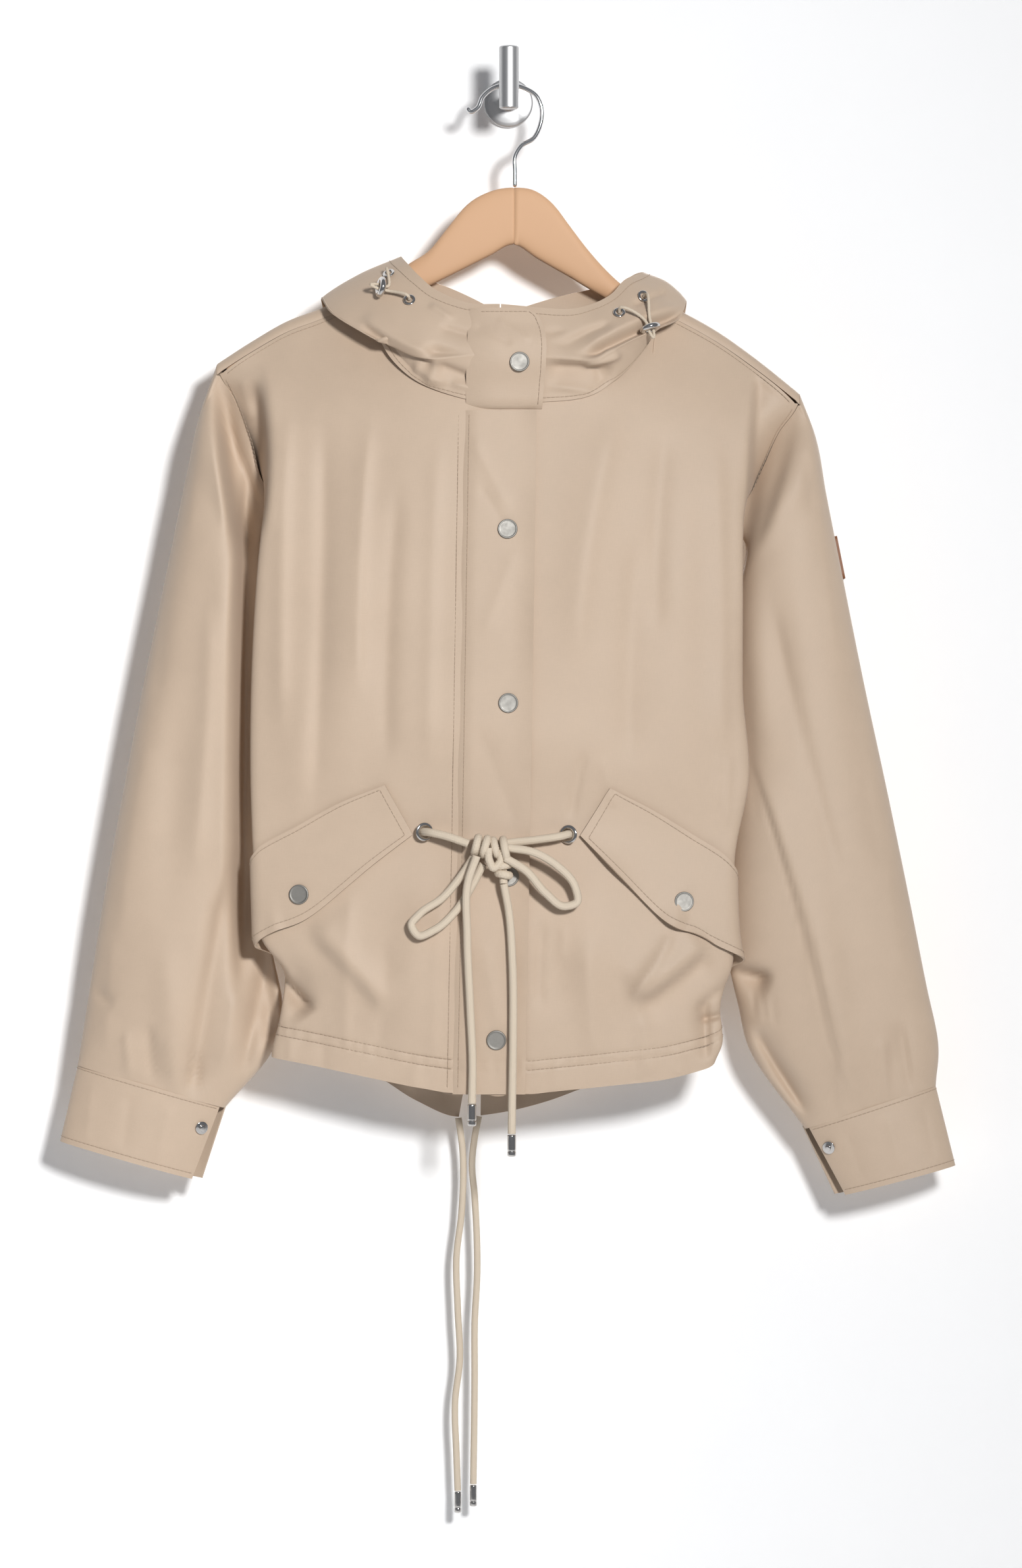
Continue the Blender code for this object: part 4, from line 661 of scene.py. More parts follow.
def curve(stations, values, at, tight=True):
    """Smooth line through rows of (station, value), read at the numbers in at.

    A tight one never overshoots its rows.
    """
    stations = np.asarray(stations, float)
    values = np.asarray(values, float)
    slopes = np.gradient(values, stations, axis=0)
    if tight:
        rise = np.diff(values) / np.diff(stations)
        limit = 2 * np.minimum(np.abs(rise[:-1]), np.abs(rise[1:])) * (rise[:-1] * rise[1:] > 0)
        slopes[1:-1] = np.clip(slopes[1:-1], -limit, limit)
    at = np.clip(at, stations[0], stations[-1])
    low = np.clip(np.searchsorted(stations, at, side="right") - 1, 0, len(stations) - 2)
    span = stations[low + 1] - stations[low]
    t = (at - stations[low]) / span
    if values.ndim > 1:
        span = span[..., None]
        t = t[..., None]
    start = (1 + 2 * t) * (1 - t) ** 2 * values[low] + t * (1 - t) ** 2 * span * slopes[low]
    end = t * t * (3 - 2 * t) * values[low + 1] - t * t * (1 - t) * span * slopes[low + 1]
    return start + end


def look_up(table, column, at):
    """A column of a table, read as a smooth line at the given stations of its first column."""
    return curve(table[:, 0], table[:, column], at)


def within(share):
    """Shares kept within 0 and 1."""
    return np.clip(share, 0, 1)


def unit(ways):
    """Ways made one long."""
    return ways / np.linalg.norm(ways, axis=-1, keepdims=True)


def angles(count):
    """A full turn in even steps."""
    return np.linspace(0, 2 * math.pi, count, endpoint=False)


def squared(wave, power):
    """A sine or cosine raised to a power with its sign kept, which squares a circle's corners."""
    return np.sign(wave) * np.abs(wave) ** power


def bell(across, half):
    """Bell curve: e to the minus square of the distance across over the half width."""
    return np.exp(-(across / half) ** 2)


def lengths(points):
    """Length along a line of points up to each of them."""
    return np.concatenate([[0], np.cumsum(np.linalg.norm(np.diff(points, axis=0), axis=1))])


def read(points, length, at):
    """Places on a line of points at the given lengths along it."""
    return np.stack([np.interp(at, length, column) for column in points.T], axis=1)


def path(points, count):
    """Count points, evenly spaced, on a smooth line through the given points."""
    points = np.asarray(points, float)
    length = lengths(points)
    dense = curve(length, points, np.linspace(0, length[-1], PATH_STEPS), False)
    length = lengths(dense)
    return read(dense, length, np.linspace(0, length[-1], count))


def by_side(s, left, right, column, at):
    """A column of the left or right table, by the sign of s, read at the given stations."""
    return np.where(s < 0, look_up(left, column, at), look_up(right, column, at))


def folds(rows, x, z):
    """Height of soft folds laid along straight lines in the front view, fading to both ends."""
    height = np.zeros(np.broadcast(x, z).shape)
    for x0, z0, x1, z1, half, rise in rows:
        run = math.hypot(x1 - x0, z1 - z0)
        along = ((x - x0) * (x1 - x0) + (z - z0) * (z1 - z0)) / run
        across = ((x - x0) * (z1 - z0) - (z - z0) * (x1 - x0)) / run
        fade = np.cos(np.clip((along / run - 0.5) * 0.8, -0.5, 0.5) * math.pi) ** 2
        height = height + rise * fade * bell(across, half)
    return height


def creases(rows, x, z):
    """Height of creases: a bell across a bowed line, wider on the bow's side, rounded off at both ends."""
    height = CRUMPLE * np.sin(x / 23 + z / 41) * np.sin(z / 17 - x / 57)
    for x0, z0, x1, z1, bow, half, lean, rise in rows:
        run = math.hypot(x1 - x0, z1 - z0)
        t = ((x - x0) * (x1 - x0) + (z - z0) * (z1 - z0)) / run ** 2
        across = ((x - x0) * (z1 - z0) - (z - z0) * (x1 - x0)) / run
        across = across - 4 * bow * within(t) * within(1 - t)
        wide = half * (1 + lean * np.tanh(across / half))
        end = within((1 - np.abs(2 * t - 1)) * 2.5)
        bell = np.exp(1 - np.sqrt(1 + 4 * (across / wide) ** 2))
        height = height + rise * end * end * (3 - 2 * end) * bell
    return height


def hem_relief(s, above):
    """Relief of a sewn hem: a groove at each stitch row, puckers between them and a full lower edge."""
    rise, middle, half = HEM_EDGE
    height = rise * bell(above - middle, half)
    rise, middle, half = HEM_PUCKER
    height = height + rise * np.sin(s / 1.7 + 2 * np.sin(s / 9)) * bell(above - middle, half)
    depth, half = HEM_GROOVE
    for row in HEM_STITCH:
        height = height - depth * bell(above - row, half)
    return height


def ridge(x):
    """Height of the shoulder ridge over the hanger at x."""
    return by_side(x, LEFT_RIDGE, RIGHT_RIDGE, 1, np.abs(x))


def front_depth(s, x, z):
    """Depth of the front before the hanging plane.

    Near the shoulder it leans off the hanger, and lower down it is crowned.
    """
    fold = by_side(s, LEFT_SIDE, RIGHT_SIDE, 1, z)
    middle = look_up(DEPTH, 1, z)
    edge = look_up(DEPTH, 2, z)
    crown = edge + (middle - edge) * (1 - np.clip(x / fold, -1, 1) ** 2) + folds(FRONT_FOLDS, x, z)
    crown = crown + creases(FRONT_CREASES, x, z) + hem_relief(s, z - look_up(FRONT_HEM, 1, s))
    lean = RIDGE_ROUND + RIDGE_LEAN * (ridge(x) - RIDGE_ROUND - z)
    return -SOFT * np.log(np.exp(-crown / SOFT) + np.exp(-lean / SOFT))


def corner(d, bend, flat, edge, way):
    """Section of a body half in (x, y): flat up to the bend, a soft corner, then straight along way."""
    t = within((d - bend + CORNER) / (2 * CORNER))[..., None]
    past = np.clip(d - bend - CORNER, 0, None)[..., None]
    start = np.stack([bend - CORNER, flat], axis=-1)
    knee = np.stack([bend, edge], axis=-1)
    end = knee + CORNER * way
    turned = (1 - t) ** 2 * start + 2 * t * (1 - t) * knee + t * t * end + past * way
    return turned[..., 0], turned[..., 1]


def body_front(s, z):
    """Point on the front's outer face for flat coordinates s round the body and height z."""
    s, z = np.broadcast_arrays(np.asarray(s, float), np.asarray(z, float))
    sign = np.where(s < 0, -1.0, 1.0)
    d = np.abs(s)
    fold = by_side(s, LEFT_SIDE, RIGHT_SIDE, 1, z)
    turn = np.radians(by_side(s, LEFT_SIDE, RIGHT_SIDE, 2, z))
    way = np.stack([np.cos(turn), np.sin(turn)], axis=-1)
    flat_x = np.minimum(d, fold - CORNER)
    flat = RIDGE_Y - front_depth(s, sign * flat_x, z)
    knee = RIDGE_Y - front_depth(s, sign * fold, z)
    turned_x, turned_y = corner(d, fold, flat, knee, way)
    inside = d <= fold - CORNER
    x = np.where(inside, d, turned_x)
    y = np.where(inside, flat, turned_y)
    return np.stack([sign * x, y, z], axis=-1)


def front_reach(sign, z):
    """Flat distance from the middle line to the side seam or armhole of the front."""
    table = LEFT_SIDE if sign < 0 else RIGHT_SIDE
    return curve(table[:, 0], table[:, 1] + table[:, 3], z)


def back_knee(s, z):
    """Corner of the back's section and the seam point it runs to, as distance from the middle and y."""
    fold = by_side(s, LEFT_SIDE, RIGHT_SIDE, 1, z)
    run = by_side(s, LEFT_SIDE, RIGHT_SIDE, 3, z)
    sign = np.where(s < 0, -1.0, 1.0)
    seam = body_front(sign * (fold + run), z)
    pit = np.where(s < 0, LEFT_ARMHOLE[0, 0], RIGHT_ARMHOLE[0, 0])
    seam_x = np.where(z < pit, np.abs(seam[..., 0]), by_side(s, LEFT_ARMHOLE, RIGHT_ARMHOLE, 1, z))
    hole_y = RIDGE_Y + by_side(s, LEFT_ARMHOLE, RIGHT_ARMHOLE, 2, z)
    seam_y = np.where(z < pit, seam[..., 1], hole_y)
    knee_y = RIDGE_Y + look_up(DEPTH, 3, z)
    turn = np.radians(by_side(s, LEFT_SIDE, RIGHT_SIDE, 2, np.minimum(z, pit)))
    knee_x = np.where(z < pit, seam_x + (knee_y - seam_y) / np.tan(turn), fold - BACK_INSET)
    return knee_x, knee_y, seam_x, seam_y


def back_reach(sign, z):
    """Flat distance from the middle line to the side seam or armhole of the back."""
    z = np.asarray(z, float)
    knee_x, knee_y, seam_x, seam_y = back_knee(np.full(z.shape, sign), z)
    return knee_x + np.hypot(seam_x - knee_x, seam_y - knee_y)


def body_back(s, up):
    """Point on the back's outer face.

    The way up is the height, then the length over the shoulder ridge to the front seam.
    """
    s, up = np.broadcast_arrays(np.asarray(s, float), np.asarray(up, float))
    sign = np.where(s < 0, -1.0, 1.0)
    d = np.abs(s)
    knee_x, knee_y, seam_x, seam_y = back_knee(s, up)
    run = np.stack([seam_x - knee_x, seam_y - knee_y], axis=-1)
    way = unit(run)
    turned_x, turned_y = corner(d, knee_x, knee_y, knee_y, way)
    inside = d <= knee_x - CORNER
    x = sign * np.where(inside, d, turned_x)
    base = np.where(inside, knee_y, turned_y) + creases(BACK_CREASES, x, up)
    base = base + hem_relief(s, up - look_up(BACK_HEM, 1, s))
    top = ridge(x) - RIDGE_ROUND
    lean = RIDGE_ROUND + RIDGE_LEAN * np.clip(top - up, 0, None)
    y = RIDGE_Y - SOFT * np.log(np.exp(-(base - RIDGE_Y) / SOFT) + np.exp(-lean / SOFT))
    over = np.clip((up - top) / RIDGE_ROUND, 0, math.pi)
    y = np.where(up > top, RIDGE_Y + RIDGE_ROUND * np.cos(over), y)
    z = np.where(up > top, top + RIDGE_ROUND * np.sin(over), up)
    return np.stack([x, y, z], axis=-1)


def coons(bottom, top, middle, side):
    """Flat grid filled in between its four edges, given as rows of flat points."""
    a = np.linspace(0, 1, len(bottom))[:, None, None]
    b = np.linspace(0, 1, len(middle))[None, :, None]
    across = (1 - b) * bottom[:, None] + b * top[:, None]
    along = (1 - a) * middle[None] + a * side[None]
    ends = (1 - a) * ((1 - b) * bottom[0] + b * top[0]) + a * ((1 - b) * bottom[-1] + b * top[-1])
    return across + along - ends


def flat(s, z):
    """Flat points from s and z."""
    s, z = np.broadcast_arrays(s, z)
    return np.stack([s, z], axis=-1)


def rows_up(heights, counts):
    """Heights up an edge through the given ones, with a count of even rows between each pair."""
    pairs = zip(heights, heights[1:], counts)
    parts = [np.linspace(low, high, count + 1)[:-1] for low, high, count in pairs]
    return np.concatenate([*parts, heights[-1:]])


def neck_table(sign):
    """Neck seam of one side."""
    return LEFT_NECK if sign < 0 else RIGHT_NECK


def armpit(sign):
    """Height of an armpit."""
    return (LEFT_ARMHOLE if sign < 0 else RIGHT_ARMHOLE)[0, 0]


def ridge_at(x):
    """Height of the shoulder ridge at one x."""
    return float(ridge(np.array([x], float))[0])


def front_side(sign, past):
    """Flat points up a front's side seam and armhole, moved out by past."""
    top = ridge_at(sign * SHOULDER_X) - RIDGE_ROUND - SEAM
    hem = FRONT_HEM[0 if sign < 0 else -1, 1]
    heights = (hem, hem + HEM_DEEP, armpit(sign), top)
    z = rows_up(heights, (HEM_ROWS, SIDE_ROWS - HEM_ROWS, ARMHOLE_ROWS))
    return flat(sign * (front_reach(sign, z) + past), z)


def back_side(sign, past):
    """Flat points up a back's side seam, armhole and over the shoulder end, moved out by past."""
    low = ridge_at(sign * SHOULDER_X) - RIDGE_ROUND
    hem = BACK_HEM[0 if sign < 0 else -1, 1]
    heights = (hem, hem + HEM_DEEP, armpit(sign), low, low + RIDGE_ROUND * math.pi)
    z = rows_up(heights, (HEM_ROWS, SIDE_ROWS - HEM_ROWS, ARMHOLE_ROWS, SHOULDER_ROWS))
    return flat(sign * (back_reach(sign, np.minimum(z, low)) + past), z)


def hem_row(table, start, end):
    """Flat points along a hem between two flat points."""
    s = np.linspace(start[0], end[0], PANEL_ACROSS + 1)
    row = flat(s, look_up(table, 1, s))
    row[0] = start
    row[-1] = end
    return row


def front_panel(sign):
    """Flat grid of a front from the opening to its side seam and armhole."""
    side = front_side(sign, -SEAM / 2)
    neck = path(neck_table(sign), NECK_CELLS + 1)
    neck[:, 1] += NECK_UNDER * (1 - np.linspace(0, 1, NECK_CELLS + 1) ** 4)
    neck[-1, 1] = ridge_at(neck[-1, 0]) - RIDGE_ROUND - SEAM
    shoulder = np.linspace(neck[-1, 0], side[-1, 0], PANEL_ACROSS - NECK_CELLS + 1)[1:]
    top = np.concatenate([neck, flat(shoulder, ridge(shoulder) - RIDGE_ROUND - SEAM)])
    heights = (FRONT_LOW, FRONT_LOW + HEM_DEEP, neck[0, 1])
    middle_z = rows_up(heights, (HEM_ROWS, len(side) - 1 - HEM_ROWS))
    middle = flat(look_up(OPENING, 1, middle_z) + sign * SEAM / 2, middle_z)
    top[0] = middle[-1]
    top[-1] = side[-1]
    return coons(hem_row(FRONT_HEM, middle[0], side[0]), top, middle, side)


def settled(grid, s):
    """Front with the creases by its side pressed in, all but at the seams, and its hem's edge uneven."""
    rows, columns = grid.shape[:2]
    off_side = within(np.arange(columns - 1, -1, -1) / 5)
    above = within(1 - np.arange(rows) / HEM_ROWS)[:, None] ** 2
    grid = grid.copy()
    grid[..., 1] -= (creases(SIDE_CREASES, grid[..., 0], grid[..., 2]) * off_side)
    grid[..., 2] += above * (0.9 * np.sin(s / 8.5 + 2 * np.sin(s / 31)) + 0.5 * np.sin(s / 3.7)) * off_side
    return grid


def back_panel(sign):
    """Flat grid of a half of the back from its middle seam to its side seam, armhole and shoulder seam."""
    side = back_side(sign, -SEAM / 2)
    over = RIDGE_ROUND * (math.pi - 1)
    tail_s = np.array([TAIL_S[0] if sign < 0 else TAIL_S[1]])
    tail = look_up(BACK_HEM, 1, tail_s)[0]
    wrap = RIDGE_ROUND * math.pi
    heights = (tail, tail + HEM_DEEP, BACK_WAIST, BACK_NECK_DROP - wrap, BACK_NECK_DROP)
    middle_z = rows_up(heights, (HEM_ROWS, SIDE_ROWS - HEM_ROWS, ARMHOLE_ROWS, SHOULDER_ROWS))
    half = look_up(SPLIT, 2, middle_z) + SEAM / 2
    middle = flat(look_up(SPLIT, 1, middle_z) + sign * half, middle_z)
    shoulder = np.linspace(neck_table(sign)[-1, 0], side[-1, 0], PANEL_ACROSS - BACK_NECK_CELLS + 1)
    top_z = ridge(shoulder) + over
    share = rows_up((0.0, BACK_NECK_TURN, 1.0), (BACK_NECK_CELLS - SHOULDER_ROWS, SHOULDER_ROWS))[:-1]
    neck_x = middle[-1, 0] + (shoulder[0] - middle[-1, 0]) * share
    turn_x = middle[-1, 0] + (shoulder[0] - middle[-1, 0]) * BACK_NECK_TURN
    dip = within(1 - share / BACK_NECK_TURN) ** 1.5
    low = ridge(neck_x) - RIDGE_ROUND
    low = np.where(share < BACK_NECK_TURN, ridge_at(turn_x) - RIDGE_ROUND, low)
    climb = wrap * within((share - BACK_NECK_TURN) / (1 - BACK_NECK_TURN))
    neck = flat(neck_x, low + (BACK_NECK_DROP - low) * dip + climb)
    top = np.concatenate([neck, flat(shoulder, top_z)])
    top[-1] = side[-1]
    return coons(hem_row(BACK_HEM, middle[0], side[0]), top, middle, side)


def armhole_ring(sign):
    """Ring of points past the armhole: up the front from the armpit, over the shoulder, down the back."""
    row = np.arange(SIDE_ROWS + ARMHOLE_ROWS + SHOULDER_ROWS + 1)
    climb = within((row - SIDE_ROWS) / ARMHOLE_ROWS)
    ease = SEAM / 2 + CAP_EASE * climb ** 2
    front = front_side(sign, ease[:-SHOULDER_ROWS])[SIDE_ROWS:]
    back = back_side(sign, ease)[SIDE_ROWS:]
    front = body_front(front[:, 0], front[:, 1])
    back = body_back(back[:, 0], back[:, 1])[::-1]
    return np.concatenate([front[:-1], back[:-1]])


def sleeve(sign):
    """Sleeve surface: rings from the armhole to the cuff seam, smooth along the arm."""
    rows = LEFT_SLEEVE if sign < 0 else RIGHT_SLEEVE
    first = armhole_ring(sign)
    angle = angles(len(first))
    share = (1 - squared(np.cos(angle), SLEEVE_SQUARE)) / 2
    deep = squared(np.sin(angle), SLEEVE_SQUARE)
    rings = [first]
    for outer_x, outer_z, inner_x, inner_z, mid_y, half in rows:
        rings.append(np.stack([
            inner_x + (outer_x - inner_x) * share,
            mid_y - half * deep,
            inner_z + (outer_z - inner_z) * share,
        ], axis=1))
    rings = np.array(rings)
    station = lengths(rings.mean(axis=1))
    share = np.linspace(0, 1, SLEEVE_ALONG + 1)
    grid = curve(station, rings.reshape(len(rings), -1), share * station[-1], False)
    grid = grid.reshape(len(share), len(first), 3)
    table = LEFT_SLEEVE_FOLDS if sign < 0 else RIGHT_SLEEVE_FOLDS
    fade = within(share * 30) * within((1 - share) * 30)
    lift = folds(table, grid[..., 0], grid[..., 2])
    table = LEFT_SLEEVE_CREASES if sign < 0 else RIGHT_SLEEVE_CREASES
    lift = (lift + creases(table, grid[..., 0], grid[..., 2])) * fade[:, None]
    grid[..., 1] -= lift * within(deep)[None]
    grid[..., 1] += 0.6 * np.clip(lift, -SLEEVE_BACK_TROUGH, None) * within(-deep)[None]
    behind = grid[:, -np.arange(len(first)) % len(first), 1] - SLEEVE_ROOM * deep
    grid[..., 1] = np.where(deep > 0, np.minimum(grid[..., 1], behind), grid[..., 1])
    return grid


def hood(around, up):
    """Hood surface: cells round the neck, and shares from the seam over the roll to the opening edge."""
    rows = curve(np.linspace(0, 1, len(HOOD)), HOOD, np.linspace(0, 1, around + 1), False)
    seam = rows[:, 0:3]
    roll = rows[:, 3:6]
    edge = rows[:, 6:9]
    bulge = rows[:, 9:10]
    way = unit(roll - (seam + edge) / 2)
    out = (seam + roll) / 2 - np.array([HOOD_MIDDLE[0], HOOD_MIDDLE[1], 0])
    out[:, 2] = 60.0
    out = unit(out - (out * way).sum(axis=1, keepdims=True) * way)
    lower = (seam + roll) / 2 - 0.2 * bulge * out
    upper = (roll + edge) / 2 + bulge * out
    round_off = np.minimum(HOOD_ROLL, bulge) * out
    under = roll + 0.16 * (lower - roll) - round_off
    above = roll + 0.16 * (upper - roll) + round_off
    rails = np.stack([seam, lower, under, roll, above, upper, edge])
    up = np.asarray(up, float)
    grid = curve(HOOD_RAILS, rails.reshape(len(rails), -1), up, False).reshape(len(up), around + 1, 3)
    x, y, z = np.moveaxis(grid, -1, 0)
    before = within((RIDGE_Y - y) / 20)
    behind = within((y - RIDGE_Y - 10) / 15)
    layer = within((up - HOOD_RAILS[3]) * 12)[:, None]
    edge_fade = within((1 - up) * 10)[:, None]
    lift = before * creases(HOOD_CREASES, x, z) + behind * creases(HOOD_BACK_CREASES, x, z)
    stand = before * creases(STAND_CREASES, x, z) * (1 - layer) * within(up * 12)[:, None]
    return grid + normals(grid) * (lift * layer * edge_fade + stand)[..., None]


def normals(grid, around=False):
    """Unit normals of a grid of points."""
    if around:
        wide = np.concatenate([grid[:, -1:], grid, grid[:, :1]], axis=1)
        second = np.gradient(wide, axis=1)[:, 1:-1]
    else:
        second = np.gradient(grid, axis=1)
    return unit(np.cross(np.gradient(grid, axis=0), second))


def on_front(points):
    """Route of (x, z, lift) rows set out from the front's outer face."""
    rows = np.array(points, float)
    route = body_front(rows[:, 0], np.maximum(rows[:, 1], FRONT_LOW + 1))
    route[:, 1] -= rows[:, 2]
    route[:, 2] = rows[:, 1]
    return route


def front_spot(x, z, lift):
    """Place lifted off the front at (x, z) and the front's outward direction there."""
    step = 4.0
    here, right, up = body_front(np.array([x, x + step, x]), np.array([z, z, z + step]))
    out = unit(np.cross(right - here, up - here))
    return here + out * lift, out


def hood_spot(x, z, lift):
    """Place lifted off the hood's outer layer where it is seen at (x, z), and the way out there."""
    grid = hood(SPOT_CELLS[0], np.linspace(HOOD_RAILS[3], 1, SPOT_CELLS[1]))
    out = normals(grid)
    near = np.hypot(grid[..., 0] - x, grid[..., 2] - z) + SPOT_FAR * (grid[..., 1] > RIDGE_Y)
    row, column = np.unravel_index(np.argmin(near), near.shape)
    return grid[row, column] + out[row, column] * lift, out[row, column]


def cuff(sign, across, up):
    """Cuff band: rows of half-opened ellipses from the sleeve's seam to the open end."""
    rows = LEFT_CUFF if sign < 0 else RIGHT_CUFF
    angle = np.linspace(CUFF_OPEN, 2 * math.pi - CUFF_OPEN, across + 1)
    share = (1 - np.cos(angle)) / 2
    row = rows[0] + (rows[1] - rows[0]) * np.linspace(CUFF_OVER, 1, up + 1)[:, None]
    x = row[:, 2:3] + (row[:, 0:1] - row[:, 2:3]) * share
    z = row[:, 3:4] + (row[:, 1:2] - row[:, 3:4]) * share
    deep = np.sin(angle)
    under = within((angle / math.pi - 1.5) / 0.42) ** 2
    x = x - sign * CUFF_UNDER * under * np.linspace(0.6, 1.1, up + 1)[:, None]
    y = CUFF_Y - row[:, 4:5] * deep - creases(CUFF_CREASES, x, z) * deep
    return np.stack([x, y, z], axis=-1)


def placket_lift(across, up):
    """Height of the placket over the front: sewn flat along its left edge, standing off along its right."""
    rise = within((across + PLACKET_HALF) / PLACKET_ROLL)
    free = within((across - PLACKET_FREE) / (PLACKET_HALF - PLACKET_FREE))
    wave = PLACKET_STAND + 0.9 * np.sin(up / 37) + 0.4 * np.sin(up / 13.7)
    full = PLACKET_LIFT + PLACKET_CLOTH + PLACKET_SUNK
    return full * rise * (2 - rise) - PLACKET_SUNK + wave * free ** 2


def placket(across, up):
    """Placket: the front's surface about the opening's line, lifted off it."""
    across, up = np.broadcast_arrays(across, up)
    grid = body_front(look_up(OPENING, 1, up) + across, up)
    grid[..., 1] -= placket_lift(across, up)
    return grid


def tab(share, up):
    """Collar tab: straight across between its two edge lines, bowed in depth up the stand."""
    share, up = np.broadcast_arrays(share, up)
    row = curve(TAB[:, 0], TAB[:, 1:], up, False)
    x = row[..., 1] + (row[..., 2] - row[..., 1]) * share
    sunk = TAB_SUNK * (1 - within(share / TAB_SIDE)) ** 2
    sunk = sunk + TAB_SUNK * 0.7 * (1 - within((up - TAB[0, 0]) / TAB_FOOT)) ** 2
    return np.stack([x, row[..., 0] + sunk - creases(TAB_CREASES, x, up), up], axis=-1)


def flap_flat(sign, share, drop):
    """Flat place on the front of a point of a flap: share along it from the inner end, share down it."""
    rows = LEFT_FLAP if sign < 0 else RIGHT_FLAP
    share, drop = np.broadcast_arrays(share, drop)
    row = curve(np.linspace(0, 1, len(rows)), rows, share, False)
    return row[..., 0] + (row[..., 2] - row[..., 0]) * drop, row[..., 1] + (row[..., 3] - row[..., 1]) * drop


def flap(sign, share, drop):
    """Flap: the front's surface lifted along its normal, more towards the lower edge and where it gapes."""
    gape = LEFT_GAPE if sign < 0 else RIGHT_GAPE
    s, z = flap_flat(sign, share, drop)
    place = body_front(s, z)
    across = body_front(s + FLAP_STEP, z) - body_front(s - FLAP_STEP, z)
    up = body_front(s, z + FLAP_STEP) - body_front(s, z - FLAP_STEP)
    out = unit(np.cross(across, up))
    lift = PLACKET_CLOTH + FLAP_LIFT[0] + (FLAP_LIFT[1] - FLAP_LIFT[0]) * drop
    lift = lift + look_up(gape, 1, within(share)) * within(drop) ** 4
    return place + out * lift[..., None]


def elastic_route(row):
    """Route of a hood elastic, the middle and way of its lock, and the places and ways of its eyelets."""
    way = unit(np.array(row[3], float))
    centre, out = hood_spot(*row[2], LOCK_LIFT)
    across = unit(np.cross(way, out))
    ends = [hood_spot(*spot, HOOD_EYELET[1] * EYELET_SQUASH + 2 * GAP) for spot in row[:2]]
    aim = np.sign(np.dot(ends[0][0] - ends[1][0], across)) * across * STRAND
    start, start_up = ends[0]
    end, end_up = ends[1]
    before, past, turn = LOCK_RUN
    route = np.array([
        start - start_up * ELASTIC_SEAT, start + start_up * ELASTIC_RISE, centre - way * before + aim,
        centre + way * past + aim, centre + way * turn, centre + way * past - aim,
        centre - way * before - aim, end + end_up * ELASTIC_RISE, end - end_up * ELASTIC_SEAT,
    ])
    return route, centre, way, ends


def knot_routes():
    """Routes of the knot's strands: turns about the cord, each a ring that leans, then a bight and an end."""
    turn = np.linspace(-0.6 * math.pi, 1.4 * math.pi, 25)
    routes = []
    for x, z, lift, radius, lean, about in KNOT_TURNS:
        over = radius * np.cos(turn)
        rise = lift + radius * np.sin(turn)
        if about == "across":
            routes.append(np.stack([x + lean * over, z + over, rise], axis=1))
        else:
            routes.append(np.stack([x + over, z + lean * over, rise], axis=1))
    return [*routes, KNOT_BIGHT, KNOT_END]


def hanger():
    """Hanger: rounded sections along its arms from a table of tops and bottoms, grooved at the mitre."""
    groove = MITRE_X + np.array([-1.0, -0.5, 0.0, 0.5, 1.0])
    x = np.sort(np.concatenate([np.linspace(HANGER[0, 0], HANGER[-1, 0], HANGER_STEPS[0]), groove]))
    row = curve(HANGER[:, 0], HANGER[:, 1:], x, False)
    cut = MITRE_CUT[0] * bell(x - MITRE_X, MITRE_CUT[1])
    square = look_up(HANGER_SQUARE, 1, x)[:, None]
    angle = angles(HANGER_STEPS[1])
    across = squared(np.cos(angle), square)
    up = squared(np.sin(angle), square)
    y = RIDGE_Y + (row[:, 2] - cut)[:, None] * across
    z = ((row[:, 0] + row[:, 1]) / 2)[:, None] + ((row[:, 0] - row[:, 1]) / 2 - cut)[:, None] * up
    return np.stack([np.broadcast_to(x[:, None], y.shape), y, z], axis=-1)


def snap(name, place, out):
    """Snap cap: a beaded rim, a plain band and a low middle."""
    rows = lathe(SNAP, SNAP_STEPS, place, out)
    return solid(name + "_cap", rows, "satin", "nickel", name)


def grommet(name, major, minor, place, axis, squash):
    """Ring of round section, flattened along its axis."""
    turn = angles(RING_STEPS[0])
    profile = np.stack([major + minor * np.cos(turn), squash * minor * np.sin(turn)], axis=1)
    rows = turned(profile, RING_STEPS[1], place, axis)
    return solid(name + "_ring", rows, "nickel", "nickel", name, closed=True)


def tip(name, end, radius):
    """Metal tip below a cord's end: a barrel with one pressed groove."""
    profile = np.array(TIP) * np.array([radius / TIP_RADIUS, 1])
    place = np.asarray(end) - np.array([0, 0, GAP - 0.1])
    rows = lathe(profile, TIP_STEPS, place, (0, 0, 1))
    return solid(name + "_metal", rows, "nickel", "nickel", name)


def front_lines():
    """Stitch lines of the fronts: hem rows, armholes, shoulder seams and the row beside the placket."""
    lines = []
    for sign in (-1, 1):
        reach = float(front_reach(sign, np.array([-720.0]))[0])
        start = look_up(OPENING, 1, np.array([-740.0]))[0] + sign * (PLACKET_HALF + 1)
        s = np.linspace(start, sign * (reach - 4), 220)
        for rise in HEM_STITCH:
            lines.append(line_on(body_front, s, look_up(FRONT_HEM, 1, s) + rise))
        top = ridge_at(sign * SHOULDER_X) - RIDGE_ROUND - SEAM
        z = np.linspace(armpit(sign) + 4, top - 4, 120)
        lines.append(line_on(body_front, sign * (front_reach(sign, z) - EDGE_STITCH), z))
        s = np.linspace(neck_table(sign)[-1, 0] + sign * 3, sign * (SHOULDER_X - 5), 80)
        lines.append(line_on(body_front, s, ridge(s) - RIDGE_ROUND - SEAM - EDGE_STITCH))
    z = np.linspace(PLACKET_ENDS[0] + 5, PLACKET_ENDS[1] - 3, 300)
    lines.append(line_on(body_front, look_up(OPENING, 1, z) + PLACKET_STITCH[0], z))
    return lines


